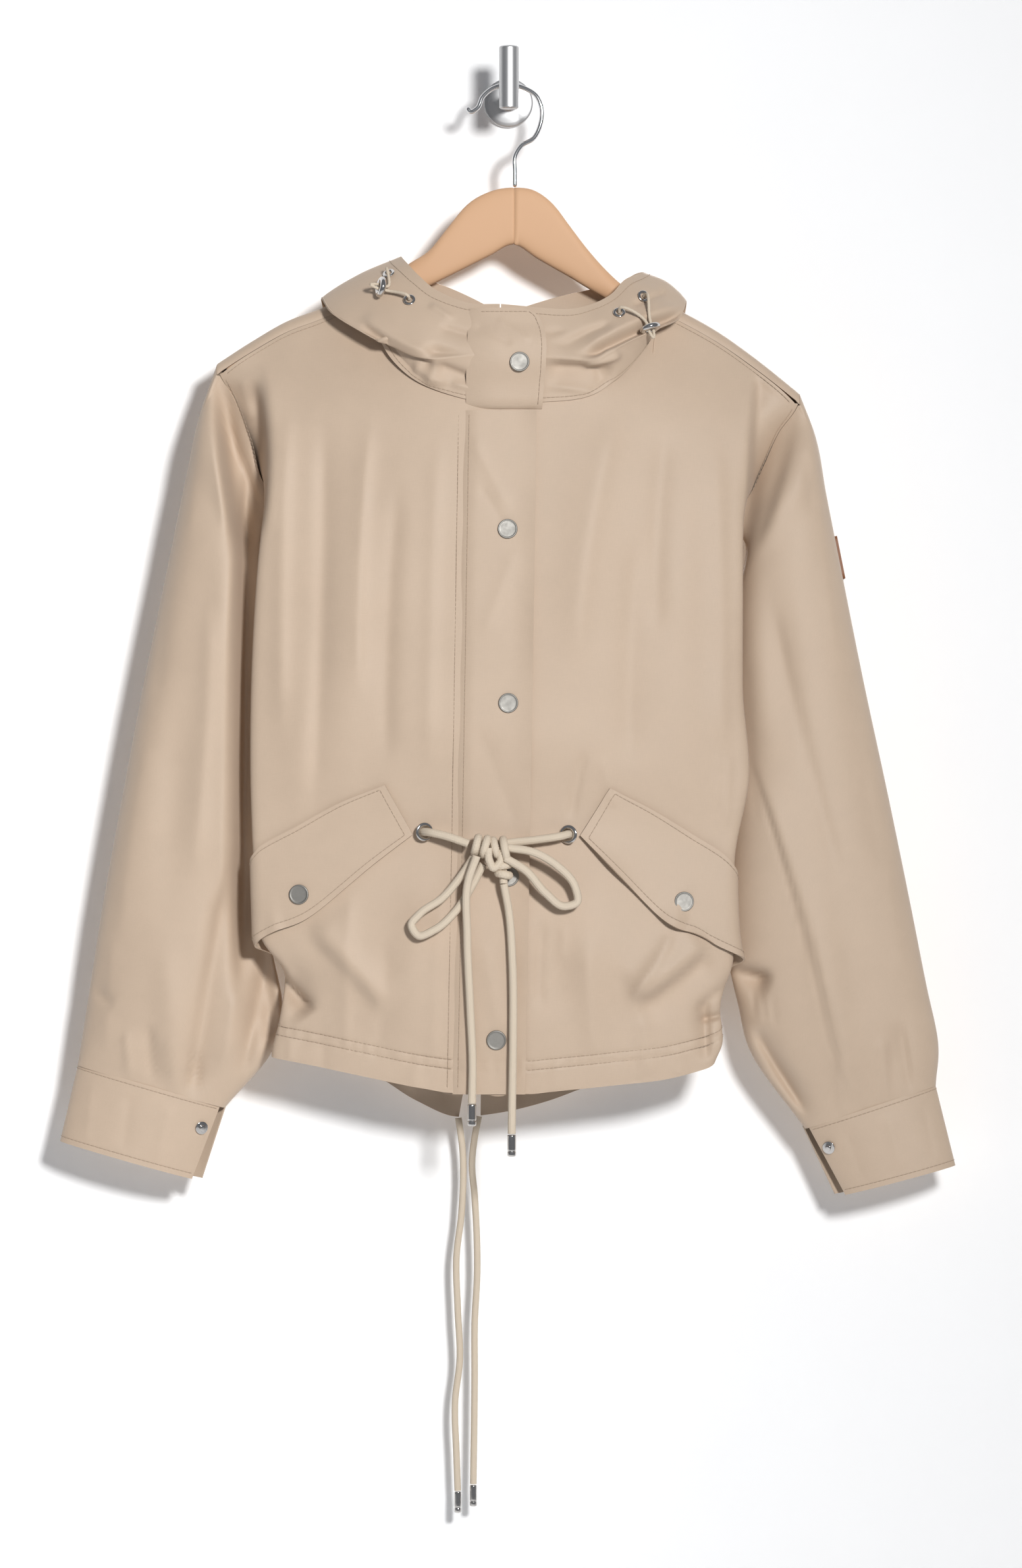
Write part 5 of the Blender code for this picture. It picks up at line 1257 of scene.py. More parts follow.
def back_lines():
    """Stitch lines of the back: hem rows, armholes and both sides of the middle seam."""
    lines = []
    for sign in (-1, 1):
        tail = TAIL_S[0] if sign < 0 else TAIL_S[1]
        s = np.linspace(tail + sign * 4, sign * 196, 220)
        for rise in HEM_STITCH:
            lines.append(line_on(body_back, s, look_up(BACK_HEM, 1, s) + rise, -1))
        top = ridge_at(sign * SHOULDER_X) - RIDGE_ROUND
        z = np.linspace(armpit(sign) + 4, top - 4, 120)
        lines.append(line_on(body_back, sign * (back_reach(sign, z) - EDGE_STITCH), z, -1))
        z = np.linspace(-740, -240, 220)
        half = look_up(SPLIT, 2, z) + EDGE_STITCH
        lines.append(line_on(body_back, look_up(SPLIT, 1, z) + sign * half, z, -1))
    return lines


def placket_lines():
    """Stitch lines of the placket and of the collar tab's edges."""
    z = np.linspace(PLACKET_ENDS[0] + 5, PLACKET_ENDS[1] - 3, 300)
    lines = [line_on(placket, PLACKET_STITCH[1], z)]
    z = np.linspace(TAB[0, 0] + 3, TAB[-1, 0] - 3, 60)
    lines.append(line_on(tab, TAB_STITCH, z))
    lines.append(line_on(tab, np.linspace(0.2, 0.92, 50), TAB[-1, 0] - EDGE_STITCH))
    return lines


def flap_lines():
    """Stitch lines of the flaps: along the seam, the lower edge and the inner end."""
    lines = []
    for sign in (-1, 1):
        top, bottom, end = FLAP_STITCH
        share = np.linspace(end, 0.975, 200)
        drop = np.linspace(top, bottom, 60)
        for line in ((share, top), (share, bottom), (end, drop)):
            lines.append(line_on(lambda a, b: flap(sign, a, b), *line, side=-sign))
    return lines


def hood_lines():
    """Stitch lines of the hood: inside its opening edge, and above the neck seam in front."""
    grid = hood(HOOD_AROUND, np.linspace(0, 1, HOOD_UP + 1))
    out = normals(grid)
    lines = [trace(grid, out, HOOD_STITCH[0] * HOOD_UP, np.linspace(3, HOOD_AROUND - 3, 500))]
    for start, end in ((0.0, 0.24), (0.76, 1.0)):
        lines.append(trace(grid, out, HOOD_STITCH[1] * HOOD_UP, np.linspace(start, end, 160) * HOOD_AROUND))
    return lines


def cuff_lines():
    """Stitch lines along both edges of the cuffs."""
    lines = []
    for sign in (-1, 1):
        grid = cuff(sign, *CUFF_CELLS)
        out = normals(grid) * sign
        for share in CUFF_STITCH:
            lines.append(trace(grid, out, share * CUFF_CELLS[1], np.linspace(2, CUFF_CELLS[0] - 2, 200)))
    return lines


def backdrop():
    """Wall behind the hook that turns in a quarter circle to the floor, running out towards the camera."""
    turn = np.linspace(0, math.pi / 2, 24)
    y = np.concatenate([[WALL_Y], WALL_Y - FLOOR_BEND * (1 - np.cos(turn)), [FLOOR_END]])
    z = np.concatenate([[WALL_TOP], FLOOR_Z + FLOOR_BEND - FLOOR_BEND * np.sin(turn), [FLOOR_Z]])
    x = np.array([STAGE_HALF, -STAGE_HALF])
    grid = np.stack(np.broadcast_arrays(x[None], y[:, None], z[:, None]), axis=-1)
    mesh = bpy.data.meshes.new("backdrop")
    mesh.from_pydata(grid.reshape(-1, 3).tolist(), [], cells(numbered(len(y), 2)).tolist())
    mesh.shade_smooth()
    mesh.materials.append(bpy.data.materials["backdrop"])
    item = bpy.data.objects.new("backdrop", mesh)
    bpy.context.scene.collection.objects.link(item)


def piece(name, points, faces, uv, finish, slot, *nodes, caps=()):
    """Mesh object that rides on the body and stands for CAD nodes.

    Points are in millimetres, faces have four corners with a UV pair each, and caps are flat end faces.
    """
    corners = np.concatenate([faces.ravel(), *caps]).astype(np.int32)
    sizes = np.concatenate([np.full(len(faces), 4), [len(cap) for cap in caps]]).astype(np.int32)
    mesh = bpy.data.meshes.new(name)
    mesh.vertices.add(len(points))
    mesh.vertices.foreach_set("co", (points * MM).astype(np.float32).ravel())
    mesh.loops.add(len(corners))
    mesh.loops.foreach_set("vertex_index", corners)
    mesh.polygons.add(len(sizes))
    mesh.polygons.foreach_set("loop_start", np.concatenate([[0], np.cumsum(sizes)[:-1]]).astype(np.int32))
    mesh.update(calc_edges=True)
    mesh.shade_smooth()
    flat_uv = np.zeros((len(corners), 2), np.float32)
    flat_uv[:faces.size] = uv.reshape(-1, 2)
    mesh.uv_layers.new(name="flat").data.foreach_set("uv", flat_uv.ravel())
    mesh.materials.append(bpy.data.materials[finish])
    item = bpy.data.objects.new(name, mesh)
    bpy.context.scene.collection.objects.link(item)
    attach(item, BODY)
    if nodes:
        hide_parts(*nodes)
    return item


def cells(index):
    """Corner numbers of each cell of a grid of numbers."""
    return np.stack([index[:-1, :-1], index[:-1, 1:], index[1:, 1:], index[1:, :-1]], axis=-1).reshape(-1, 4)


def numbered(rows, columns, around=False, closed=False):
    """Grid of point numbers, its first column and row repeated at the end where it runs round."""
    index = np.arange(rows * columns).reshape(rows, columns)
    if around:
        index = np.concatenate([index, index[:, :1]], axis=1)
    if closed:
        index = np.concatenate([index, index[:1]], axis=0)
    return index


def wall(name, outer, inner, uv, finish, slot, *nodes, flip=False, around=False):
    """Closed shell between an outer and an inner grid: both faces, and a rim along every free edge.

    The UV grid has a column more than the points where the grid runs round.
    """
    rows, columns = outer.shape[:2]
    count = rows * columns
    parts = []
    for index, shift in ((numbered(rows, columns, around), count), (numbered(*uv.shape[:2]), 0)):
        pairs = [(index[0, 1:], index[0, :-1]), (index[-1, :-1], index[-1, 1:])]
        if not around:
            pairs += [(index[:-1, 0], index[1:, 0]), (index[1:, -1], index[:-1, -1])]
        a = np.concatenate([pair[0] for pair in pairs])
        b = np.concatenate([pair[1] for pair in pairs])
        rim = np.stack([a, b, b + shift, a + shift], axis=-1)
        parts.append(np.concatenate([cells(index), cells(index)[:, ::-1] + shift, rim]))
    faces, corner = parts
    if flip:
        faces = faces[:, ::-1]
        corner = corner[:, ::-1]
    points = np.concatenate([outer.reshape(-1, 3), inner.reshape(-1, 3)])
    item = piece(name, points, faces, uv.reshape(-1, 2)[corner] * MM, finish, slot, *nodes)
    free = np.zeros((rows, columns), bool)
    free[[0, -1]] = True
    free[:, [0, -1]] |= not around
    free = np.concatenate([free.ravel(), free.ravel()])
    ends = np.empty(2 * len(item.data.edges), np.int32)
    item.data.edges.foreach_get("vertices", ends)
    ends = ends.reshape(-1, 2)
    sharp = free[ends].all(axis=1) & ((ends[:, 0] < count) == (ends[:, 1] < count))
    item.data.attributes.new("sharp_edge", "BOOLEAN", "EDGE").data.foreach_set("value", sharp)
    return item


def flat_grid(grid, around=False):
    """Flat coordinates of a grid: lengths along its rows about their middles, and up its columns."""
    if around:
        grid = np.concatenate([grid, grid[:, :1]], axis=1)
    steps = np.linalg.norm(np.diff(grid, axis=1), axis=2)
    u = np.concatenate([np.zeros((len(grid), 1)), np.cumsum(steps, axis=1)], axis=1)
    u = u - u[:, -1:] / 2
    rise = np.linalg.norm(np.diff(grid, axis=0), axis=2)
    v = np.concatenate([np.zeros((1, rise.shape[1])), np.cumsum(rise, axis=0)])
    return np.stack([u, v], axis=-1)


def cloth(node, ending, outer, inner, uv, held="hung", rests_on=(), **how):
    """Cloth wall. Its flat box and half the area of its faces, at most the box's own, are worked out but not
    used.
    """
    item = wall(node + ending, outer, inner, uv, "cotton", "cloth", node, **how)
    size = np.ptp(uv.reshape(-1, 2), axis=0) * MM
    area = np.empty(len(item.data.polygons))
    item.data.polygons.foreach_get("area", area)
    area = min(float(area.sum()) / 2, float(size[0] * size[1]))


def frames(route):
    """Two sides across a route at each of its points, carried along with no twist."""
    way = unit(np.gradient(route, axis=0))
    side = np.empty_like(route)
    last = np.eye(3)[np.argmin(np.abs(way[0]))]
    for number, ahead in enumerate(way):
        last = unit(last - ahead * np.dot(last, ahead))
        side[number] = last
    return side, np.cross(way, side)


def tube(route, radius, around):
    """Rings of points round a route: the radius turned about the route's way."""
    side, up = frames(route)
    angle = angles(around)[None, :, None]
    spokes = np.cos(angle) * side[:, None] + np.sin(angle) * up[:, None]
    return route[:, None] + np.asarray(radius)[..., None] * spokes


def joined(name, grids, finish, slot, *nodes, closed=False):
    """One piece of runs of rings of points, each run capped at both ends or joined end to end."""
    points, faces, corner, caps = [], [], [], []
    start = 0
    for grid in grids:
        rows, columns = grid.shape[:2]
        uv = flat_grid(np.concatenate([grid, grid[:1]]) if closed else grid, True)
        points.append(grid.reshape(-1, 3))
        faces.append(cells(numbered(rows, columns, True, closed)) + start)
        corner.append(uv.reshape(-1, 2)[cells(numbered(*uv.shape[:2]))] * MM)
        if not closed:
            caps += [np.arange(columns)[::-1] + start, np.arange(columns) + start + (rows - 1) * columns]
        start += rows * columns
    points, faces, corner = (np.concatenate(part) for part in (points, faces, corner))
    return piece(name, points, faces, corner, finish, slot, *nodes, caps=caps)


def solid(name, grid, finish, slot, node, closed=False):
    """One piece of one run of rings."""
    return joined(name, [grid], finish, slot, node, closed=closed)


def turned(profile, sides, place, axis):
    """Rings of a profile of (radius, height) turned about an axis through a place."""
    axis = unit(np.asarray(axis, float))
    side = np.eye(3)[np.argmin(np.abs(axis))]
    side = unit(side - axis * np.dot(side, axis))
    up = np.cross(axis, side)
    angle = angles(sides)[None, :, None]
    profile = np.asarray(profile, float)
    spokes = np.cos(angle) * side + np.sin(angle) * up
    return np.asarray(place) + profile[:, :1, None] * spokes + profile[:, 1:, None] * axis


def lathe(profile, steps, place, axis):
    """Rings of a profile with eased corners: steps along it and round it."""
    return turned(rounded(profile, steps[0]), steps[1], place, axis)


def rounded(corners, count):
    """Profile through corners, with each corner eased by a short smooth turn."""
    corners = np.asarray(corners, float)
    before = corners[1:-1] + (corners[:-2] - corners[1:-1]) * 0.25
    after = corners[1:-1] + (corners[2:] - corners[1:-1]) * 0.25
    middle = 0.25 * before + 0.5 * corners[1:-1] + 0.25 * after
    eased = np.stack([before, middle, after], axis=1).reshape(-1, 2)
    line = np.concatenate([corners[:1], eased, corners[-1:]])
    length = lengths(line)
    return read(line, length, np.unique(np.concatenate([length, np.linspace(0, length[-1], count)])))


def line_on(surface, a, b, side=1, lift=THREAD_LIFT):
    """Points along a line of a surface of two parameters, and the way out there from small steps of both."""
    a, b = np.broadcast_arrays(np.asarray(a, float), np.asarray(b, float))
    step = 0.002 * max(np.ptp(a), np.ptp(b))
    first = surface(a + step, b) - surface(a - step, b)
    second = surface(a, b + step) - surface(a, b - step)
    out = unit(np.cross(first, second) * side)
    return surface(a, b) + out * lift, out


def trace(grid, out, row, column, lift=THREAD_LIFT):
    """Points along a line of a grid given by rows and columns with fractions, and the way out there."""
    row, column = np.broadcast_arrays(np.asarray(row, float), np.asarray(column, float))
    r = np.clip(row.astype(int), 0, grid.shape[0] - 2)
    c = np.clip(column.astype(int), 0, grid.shape[1] - 2)
    p = (row - r)[:, None]
    q = (column - c)[:, None]
    low = (1 - q) * grid[r, c] + q * grid[r, c + 1]
    high = (1 - q) * grid[r + 1, c] + q * grid[r + 1, c + 1]
    return (1 - p) * low + p * high + out[r, c] * lift, out[r, c]


def sewn(name, lines, stitch):
    """Rows of stitches end to end along each line: short threads, fat in the middle, sunk at both ends."""
    centre = []
    way = []
    out = []
    for points, normal in lines:
        length = lengths(points)
        count = max(int(length[-1] / stitch), 1)
        at = (np.arange(count) + 0.5) * length[-1] / count
        centre.append(read(points, length, at))
        way.append(read(points, length, at + 0.5) - read(points, length, at - 0.5))
        out.append(read(normal, length, at))
    centre = np.concatenate(centre)
    way = unit(np.concatenate(way))
    out = np.concatenate(out)
    out = unit(out - way * (way * out).sum(axis=1, keepdims=True))
    side = np.cross(out, way)
    station, fat, sink = STITCH.T[:, :, None, None]
    station = station * stitch
    fat = fat * THREAD
    sink = sink * THREAD
    angle = angles(4)[None, :, None]
    way, out, side = (part[:, None, None] for part in (way, out, side))
    grid = centre[:, None, None] + station * way
    grid = grid + fat * (np.cos(angle) * side + np.sin(angle) * out) + sink * out
    one = np.concatenate([cells(numbered(5, 4, True)), [[3, 2, 1, 0], [16, 17, 18, 19]]])
    faces = (one[None] + 20 * np.arange(len(centre))[:, None, None]).reshape(-1, 4)
    uv = np.zeros((len(faces), 4, 2))
    # The stitches' finish carries the thread colour, darkened as painted shade of the stitch holes.
    return piece(name, grid.reshape(-1, 3), faces, uv, "thread_and_stitch_shade", "cloth")


def braided(route, diameter, pitch, columns=12, around=36):
    """Tube with a braid's relief: slanting stitches in columns round it, columns slanting by turns."""
    along = lengths(route)[:, None]
    column = np.linspace(0, columns, around, endpoint=False)[None]
    share = column % 1 - 0.5
    turn = np.where(column.astype(int) % 2 == 0, 1, -1)
    swell = np.cos(2 * math.pi * (along / pitch + 0.7 * turn * share))
    relief = BRAID * (swell * 0.5 - 0.5 - 3.2 * share ** 2)
    return tube(route, diameter / 2 + relief, around)


def cord(node, points, diameter, pitch):
    """Braided cord along a route, in steps set by the length of that route."""
    length = lengths(path(points, 200))[-1]
    route = path(points, int(length / CORD_STEP))
    item = solid(node + "_braid", braided(route, diameter, pitch), "cord", "cord", node)
    centre = path(points, 40) * MM
    return item


def give(tree, node, **inputs):
    """Give a node's inputs, by name or as i and a number, a value or another node's output."""
    for key, value in inputs.items():
        socket = node.inputs[int(key[1:]) if key[1:].isdigit() else key.replace("_", " ")]
        if isinstance(value, bpy.types.NodeSocket):
            tree.links.new(value, socket)
        else:
            socket.default_value = value


def put(tree, kind, settings=(), **inputs):
    """Outputs of a new node with its settings and inputs."""
    node = tree.nodes.new(kind)
    for key, value in dict(settings).items():
        setattr(node, key, value)
    give(tree, node, **inputs)
    return node.outputs


def sum_of(tree, operation, a, b=0.0, c=0.5):
    """Output of a math node."""
    return put(tree, "ShaderNodeMath", {"operation": operation}, i0=a, i1=b, i2=c)[0]


def mean_of(tree, a, b):
    """Half of a sum."""
    return sum_of(tree, "MULTIPLY", sum_of(tree, "ADD", a, b), 0.5)


def noise_of(tree, place, stretch=None, scale=1.0, **settings):
    """Noise at a place, drawn out by a stretch."""
    if stretch:
        place = put(tree, "ShaderNodeMapping", Vector=place, Scale=stretch)[0]
    return put(tree, "ShaderNodeTexNoise", Vector=place, Scale=scale, **settings)[0]


def ranged(tree, value, **limits):
    """A value moved from one range to another."""
    return put(tree, "ShaderNodeMapRange", Value=value, **limits)[0]


def bumped(tree, strength, depth, height):
    """Normal from a height."""
    return put(tree, "ShaderNodeBump", Strength=strength, Distance=depth, Height=height)[0]


def shader_group(name, inputs, outputs):
    """Empty shader node group with named sockets, its input node and its output node."""
    tree = bpy.data.node_groups.new(name, "ShaderNodeTree")
    for label, kind, value in inputs:
        socket = tree.interface.new_socket(label, in_out="INPUT", socket_type="NodeSocket" + kind)
        if value is not None:
            socket.default_value = value
    for label in outputs:
        tree.interface.new_socket(label, in_out="OUTPUT", socket_type="NodeSocketFloat")
    return tree, tree.nodes.new("NodeGroupInput").outputs, tree.nodes.new("NodeGroupOutput")


def weave_group():
    """Plain weave on flat coordinates: crossing sines for the threads, long noise both ways for slubs."""
    inputs = (("Flat", "Vector", None), ("Pitch", "Float", 0.00045), ("Slub", "Float", 0.5))
    tree, given, result = shader_group("weave", inputs, ("Height", "Shade"))
    split = put(tree, "ShaderNodeSeparateXYZ", i0=given["Flat"])
    turns = sum_of(tree, "DIVIDE", 2 * math.pi, given["Pitch"])
    warp = sum_of(tree, "SINE", sum_of(tree, "MULTIPLY", split[0], turns))
    weft = sum_of(tree, "SINE", sum_of(tree, "MULTIPLY", split[1], turns))
    threads = sum_of(tree, "MULTIPLY_ADD", sum_of(tree, "MULTIPLY", warp, weft), 0.5, 0.5)
    slubs = [noise_of(tree, given["Flat"], way, Detail=2.0) for way in (SLUB_UP, SLUB_ACROSS)]
    slub = mean_of(tree, *slubs)
    lump = sum_of(tree, "MULTIPLY", slub, given["Slub"])
    give(tree, result, Height=sum_of(tree, "ADD", threads, lump), Shade=slub)


def mottle_group():
    """Slow unevenness of a surface: broad and fine noise on object coordinates, about a half."""
    inputs = (("Place", "Vector", None), ("Scale", "Float", 14.0))
    tree, given, result = shader_group("mottle", inputs, ("Value",))
    fine = sum_of(tree, "MULTIPLY", given["Scale"], 7.0)
    broad = noise_of(tree, given["Place"], scale=given["Scale"], Detail=3.0)
    small = noise_of(tree, given["Place"], scale=fine, Detail=2.0)
    give(tree, result, Value=mean_of(tree, broad, small))


def scuff_group():
    """Handling marks of metal: noise drawn out along one way, as a roughness and a height."""
    inputs = (
        ("Place", "Vector", None), ("Stretch", "Vector", (1.0, 1.0, 1.0)), ("Low", "Float", 0.2),
        ("High", "Float", 0.4),
    )
    tree, given, result = shader_group("scuff", inputs, ("Roughness", "Height"))
    multiply = {"operation": "MULTIPLY"}
    place = put(tree, "ShaderNodeVectorMath", multiply, i0=given["Place"], i1=given["Stretch"])[0]
    noise = noise_of(tree, place, Detail=4.0)
    spread = ranged(tree, noise, From_Min=0.3, From_Max=0.7, To_Min=given["Low"], To_Max=given["High"])
    give(tree, result, Roughness=spread, Height=noise)


def start_material(name):
    """New material's nodes, its Principled shader and its coordinates."""
    made = bpy.data.materials.new(name)
    made.use_nodes = True
    tree = made.node_tree
    return tree, tree.nodes["Principled BSDF"], put(tree, "ShaderNodeTexCoord")


def use_group(tree, name, **inputs):
    """Place a node group in a material."""
    return put(tree, "ShaderNodeGroup", {"node_tree": bpy.data.node_groups[name]}, **inputs)


def mottled(tree, place, scale):
    """Slow unevenness at a scale."""
    return use_group(tree, "mottle", Place=place["Object"], Scale=scale)["Value"]


def between(tree, share, first, second):
    """Colour between two by a share."""
    return put(tree, "ShaderNodeMix", {"data_type": "RGBA"}, i0=share, i6=(*first, 1), i7=(*second, 1))[2]


def toned(tree, share, colour, dark, light):
    """A colour that runs from a darker to a lighter tone of itself by a share."""
    tones = [[min(1.0, part * tone) for part in colour] for tone in (dark, light)]
    return between(tree, share, *tones)


def cloth_material(name, colour, pitch, slub, depth):
    """Matt cotton: woven threads in bump and colour, with slow mottling and a soft sheen."""
    tree, shader, place = start_material(name)
    woven = use_group(tree, "weave", Flat=place["UV"], Pitch=pitch, Slub=slub)
    mottle = mottled(tree, place, 9.0)
    share = ranged(tree, mean_of(tree, woven["Shade"], mottle), From_Min=0.3, From_Max=0.7)
    give(
        tree, shader, Base_Color=toned(tree, share, colour, 0.95, 1.05),
        Roughness=ranged(tree, mottle, To_Min=0.50, To_Max=0.66), Sheen_Weight=0.08, Sheen_Roughness=0.5,
        Specular_IOR_Level=0.4, Normal=bumped(tree, 0.5, depth, woven["Height"]),
    )


def cord_material(colour):
    """Braid: fine yarn noise along the stitches, with a soft sheen."""
    tree, shader, place = start_material("cord")
    noise = noise_of(tree, place["UV"], (2600.0, 900.0, 1.0), Detail=3.0)
    share = mean_of(tree, noise, mottled(tree, place, 40.0))
    give(
        tree, shader, Base_Color=toned(tree, share, colour, 0.82, 1.14),
        Roughness=ranged(tree, noise, To_Min=0.7, To_Max=0.95), Sheen_Weight=0.15,
        Normal=bumped(tree, 0.5, 0.00015, noise),
    )


def metal_material(name, colour, stretch, low, high, depth):
    """Metal with handling marks in its gloss and its bump."""
    tree, shader, place = start_material(name)
    scuff = use_group(tree, "scuff", Place=place["Object"], Stretch=stretch, Low=low, High=high)
    give(
        tree, shader, Base_Color=toned(tree, mottled(tree, place, 60.0), colour, 0.86, 1.12),
        Roughness=scuff["Roughness"], Metallic=1.0, Normal=bumped(tree, 0.3, depth, scuff["Height"]),
    )


def wood_material(light, dark):
    """Beech: flecks and year lines drawn out along the arm, under a thin satin coat."""
    tree, shader, place = start_material("wood")
    grain = noise_of(tree, place["Object"], (5.0, 70.0, 70.0), Detail=5.0, Distortion=1.4)
    fleck = noise_of(tree, place["Object"], (60.0, 700.0, 700.0), Detail=2.0)
    marks = ranged(tree, fleck, From_Min=0.56, From_Max=0.68)
    broad = ranged(tree, grain, From_Min=0.38, From_Max=0.66)
    share = sum_of(tree, "MAXIMUM", sum_of(tree, "MULTIPLY", marks, 0.5), broad)
    give(
        tree, shader, Base_Color=between(tree, sum_of(tree, "MULTIPLY", share, 0.75), light, dark),
        Roughness=ranged(tree, grain, To_Min=0.36, To_Max=0.56), Coat_Weight=0.08, Coat_Roughness=0.3,
        Normal=bumped(tree, 0.25, 0.0002, grain),
    )


def leather_material(colour):
    """Leather: small cells in bump, with worn lighter patches."""
    tree, shader, place = start_material("leather")
    grain = put(tree, "ShaderNodeTexVoronoi", Vector=place["Object"], Scale=1400.0)["Distance"]
    mottle = mottled(tree, place, 70.0)
    give(
        tree, shader, Base_Color=toned(tree, mottle, colour, 0.7, 1.5),
        Roughness=ranged(tree, mottle, To_Min=0.45, To_Max=0.75), Normal=bumped(tree, 0.4, 0.0002, grain),
    )


def backdrop_material(colour):
    """Matt wall and floor, clear from behind and to light from behind, with a trace of unevenness."""
    tree, shader, place = start_material("backdrop")
    tone = toned(tree, mottled(tree, place, 1.5), colour, 0.985, 1.015)
    give(tree, shader, Base_Color=tone, Roughness=0.95, Specular_IOR_Level=0.0)
    behind = put(tree, "ShaderNodeNewGeometry")["Backfacing"]
    ray = put(tree, "ShaderNodeLightPath")["Is Shadow Ray"]
    clear = put(tree, "ShaderNodeBsdfTransparent")[0]
    mix = put(
        tree, "ShaderNodeMixShader", i0=sum_of(tree, "MAXIMUM", behind, ray), i1=shader.outputs[0], i2=clear,
    )
    give(tree, tree.nodes["Material Output"], Surface=mix[0])


class JACKET_OT_finishes(Operator):
    """Make the node groups and the materials"""

    bl_idname = "jacket.finishes"
    bl_label = "Finishes"

    def execute(self, context):
        scene = context.scene
        fabric = scene.jacket_cloth
        trim = scene.jacket_trim
        weave_group()
        mottle_group()
        scuff_group()
        cloth_material("cotton", fabric.colour, fabric.weave, 1.1, WEAVE_DEEP)
        # Thread finish: the thread's own tone, darkened as painted shade where the stitches sink into the
        # cloth.
        cloth_material("thread_and_stitch_shade", fabric.thread_and_stitch_shade, fabric.weave, 0.5, WEAVE_DEEP)
        cord_material(scene.jacket_cord.colour)
        metal_material("nickel", trim.nickel, (300.0, 300.0, 300.0), 0.26, 0.4, 0.00005)
        metal_material("satin", trim.satin, (300.0, 300.0, 300.0), 0.5, 0.62, 0.00005)
        metal_material("chrome", trim.chrome, (200.0, 200.0, 200.0), 0.06, 0.16, 0.00004)
        metal_material("steel", trim.steel, (2400.0, 2400.0, 40.0), 0.08, 0.18, 0.00006)
        wood_material(trim.wood, trim.grain)
        leather_material(trim.leather)
        backdrop_material(scene.jacket_stage.backdrop)
        return {"FINISHED"}


class JACKET_OT_camera(Operator):
    """Set the camera at the photograph's viewing angle"""

    bl_idname = "jacket.camera"
    bl_label = "Camera"

    def execute(self, context):
        distance = context.scene.jacket_stage.distance
        lens = bpy.data.cameras.new("camera")
        lens.sensor_fit = "VERTICAL"
        lens.sensor_height = SENSOR
        lens.lens = SENSOR * (distance + CAMERA_PLANE * MM) / (CAMERA_HIGH * MM)
        item = bpy.data.objects.new("camera", lens)
        item.location = (CAMERA_AT[0] * MM, -distance, CAMERA_AT[1] * MM)
        item.rotation_euler = (math.pi / 2, 0, 0)
        context.scene.collection.objects.link(item)
        context.scene.camera = item
        return {"FINISHED"}


class JACKET_OT_cords(Operator):
    """Make the hem cords, the loops and tails of the bow, and the hood's elastic, with their metal tips"""

    bl_idname = "jacket.cords"
    bl_label = "Cords"

    def execute(self, context):
        made = context.scene.jacket_cord
        pitch = made.pitch / MM
        waist = made.waist / MM
        hem = made.hem / MM
        for side, rows in (("left", LEFT_HEM_CORD), ("right", RIGHT_HEM_CORD)):
            rows = np.array(rows, float)
            route = np.stack([rows[:, 0], np.full(len(rows), HEM_Y), rows[:, 1]], axis=1)
            end = tip("hem_tip_" + side, route[-1], hem / 2 + 0.1)
            cord("hem_cord_" + side, route, hem, pitch)
        for side, rows in (("left", LEFT_LOOP), ("right", RIGHT_LOOP)):
            cord("cord_loop_" + side, on_front(rows), waist, pitch)
        for side, rows in (("left", LEFT_TAIL), ("right", RIGHT_TAIL)):
            route = on_front(rows)
            end = tip("cord_tip_" + side, route[-1], waist / 2 + 0.1)
            cord("cord_tail_" + side, route, waist, pitch)
        for side, row in (("left", LEFT_LOCK), ("right", RIGHT_LOCK)):
            route = elastic_route(row)[0]
            cord("hood_elastic_" + side, route, made.elastic / MM, pitch * ELASTIC_PITCH)
        return {"FINISHED"}


class JACKET_OT_bow(Operator):
    """Make the knot of the bow, the stopper knot below it and the short leads to the eyelets"""

    bl_idname = "jacket.bow"
    bl_label = "Bow"

    def execute(self, context):
        made = context.scene.jacket_cord
        pitch = made.pitch / MM
        thick = made.waist / MM
        routes = [path(on_front(rows), 80) for rows in (LEFT_LEAD, RIGHT_LEAD, *knot_routes())]
        grids = [braided(route, thick, pitch) for route in routes]
        joined("waist_bow", grids, "cord", "cord",
               "cord_knot", "cord_stopper", "cord_lead_left", "cord_lead_right")
        return {"FINISHED"}


class JACKET_OT_body(Operator):
    """Make the two fronts and the two halves of the back"""

    bl_idname = "jacket.body"
    bl_label = "Fronts and back"

    def execute(self, context):
        thick = context.scene.jacket_cloth.wall / MM
        for sign, side in SIDES:
            uv = front_panel(sign)
            grid = settled(body_front(uv[..., 0], uv[..., 1]), uv[..., 0])
            inner = grid - normals(grid) * sign * thick
            cloth("front_" + side, "_cloth", grid, inner, uv, flip=sign > 0)
            uv = back_panel(sign)
            grid = body_back(uv[..., 0], uv[..., 1])
            inner = grid + normals(grid) * sign * thick
            cloth("back_" + side, "_cloth", grid, inner, uv, rests_on=["hanger"], flip=sign < 0)
        return {"FINISHED"}


class JACKET_OT_sleeves(Operator):
    """Make the sleeves and the open cuffs"""

    bl_idname = "jacket.sleeves"
    bl_label = "Sleeves and cuffs"

    def execute(self, context):
        made = context.scene.jacket_cloth
        for sign, side in SIDES:
            how = {"flip": sign > 0}
            grid = sleeve(sign)
            inner = grid - normals(grid, True) * sign * made.wall / MM
            uv = flat_grid(grid, True)
            cloth("sleeve_" + side, "_cloth", grid, inner, uv, around=True, **how)
            grid = cuff(sign, *CUFF_CELLS)
            inner = grid - normals(grid) * sign * made.strip / MM
            cloth("cuff_" + side, "_band", grid, inner, flat_grid(grid), **how)
        return {"FINISHED"}


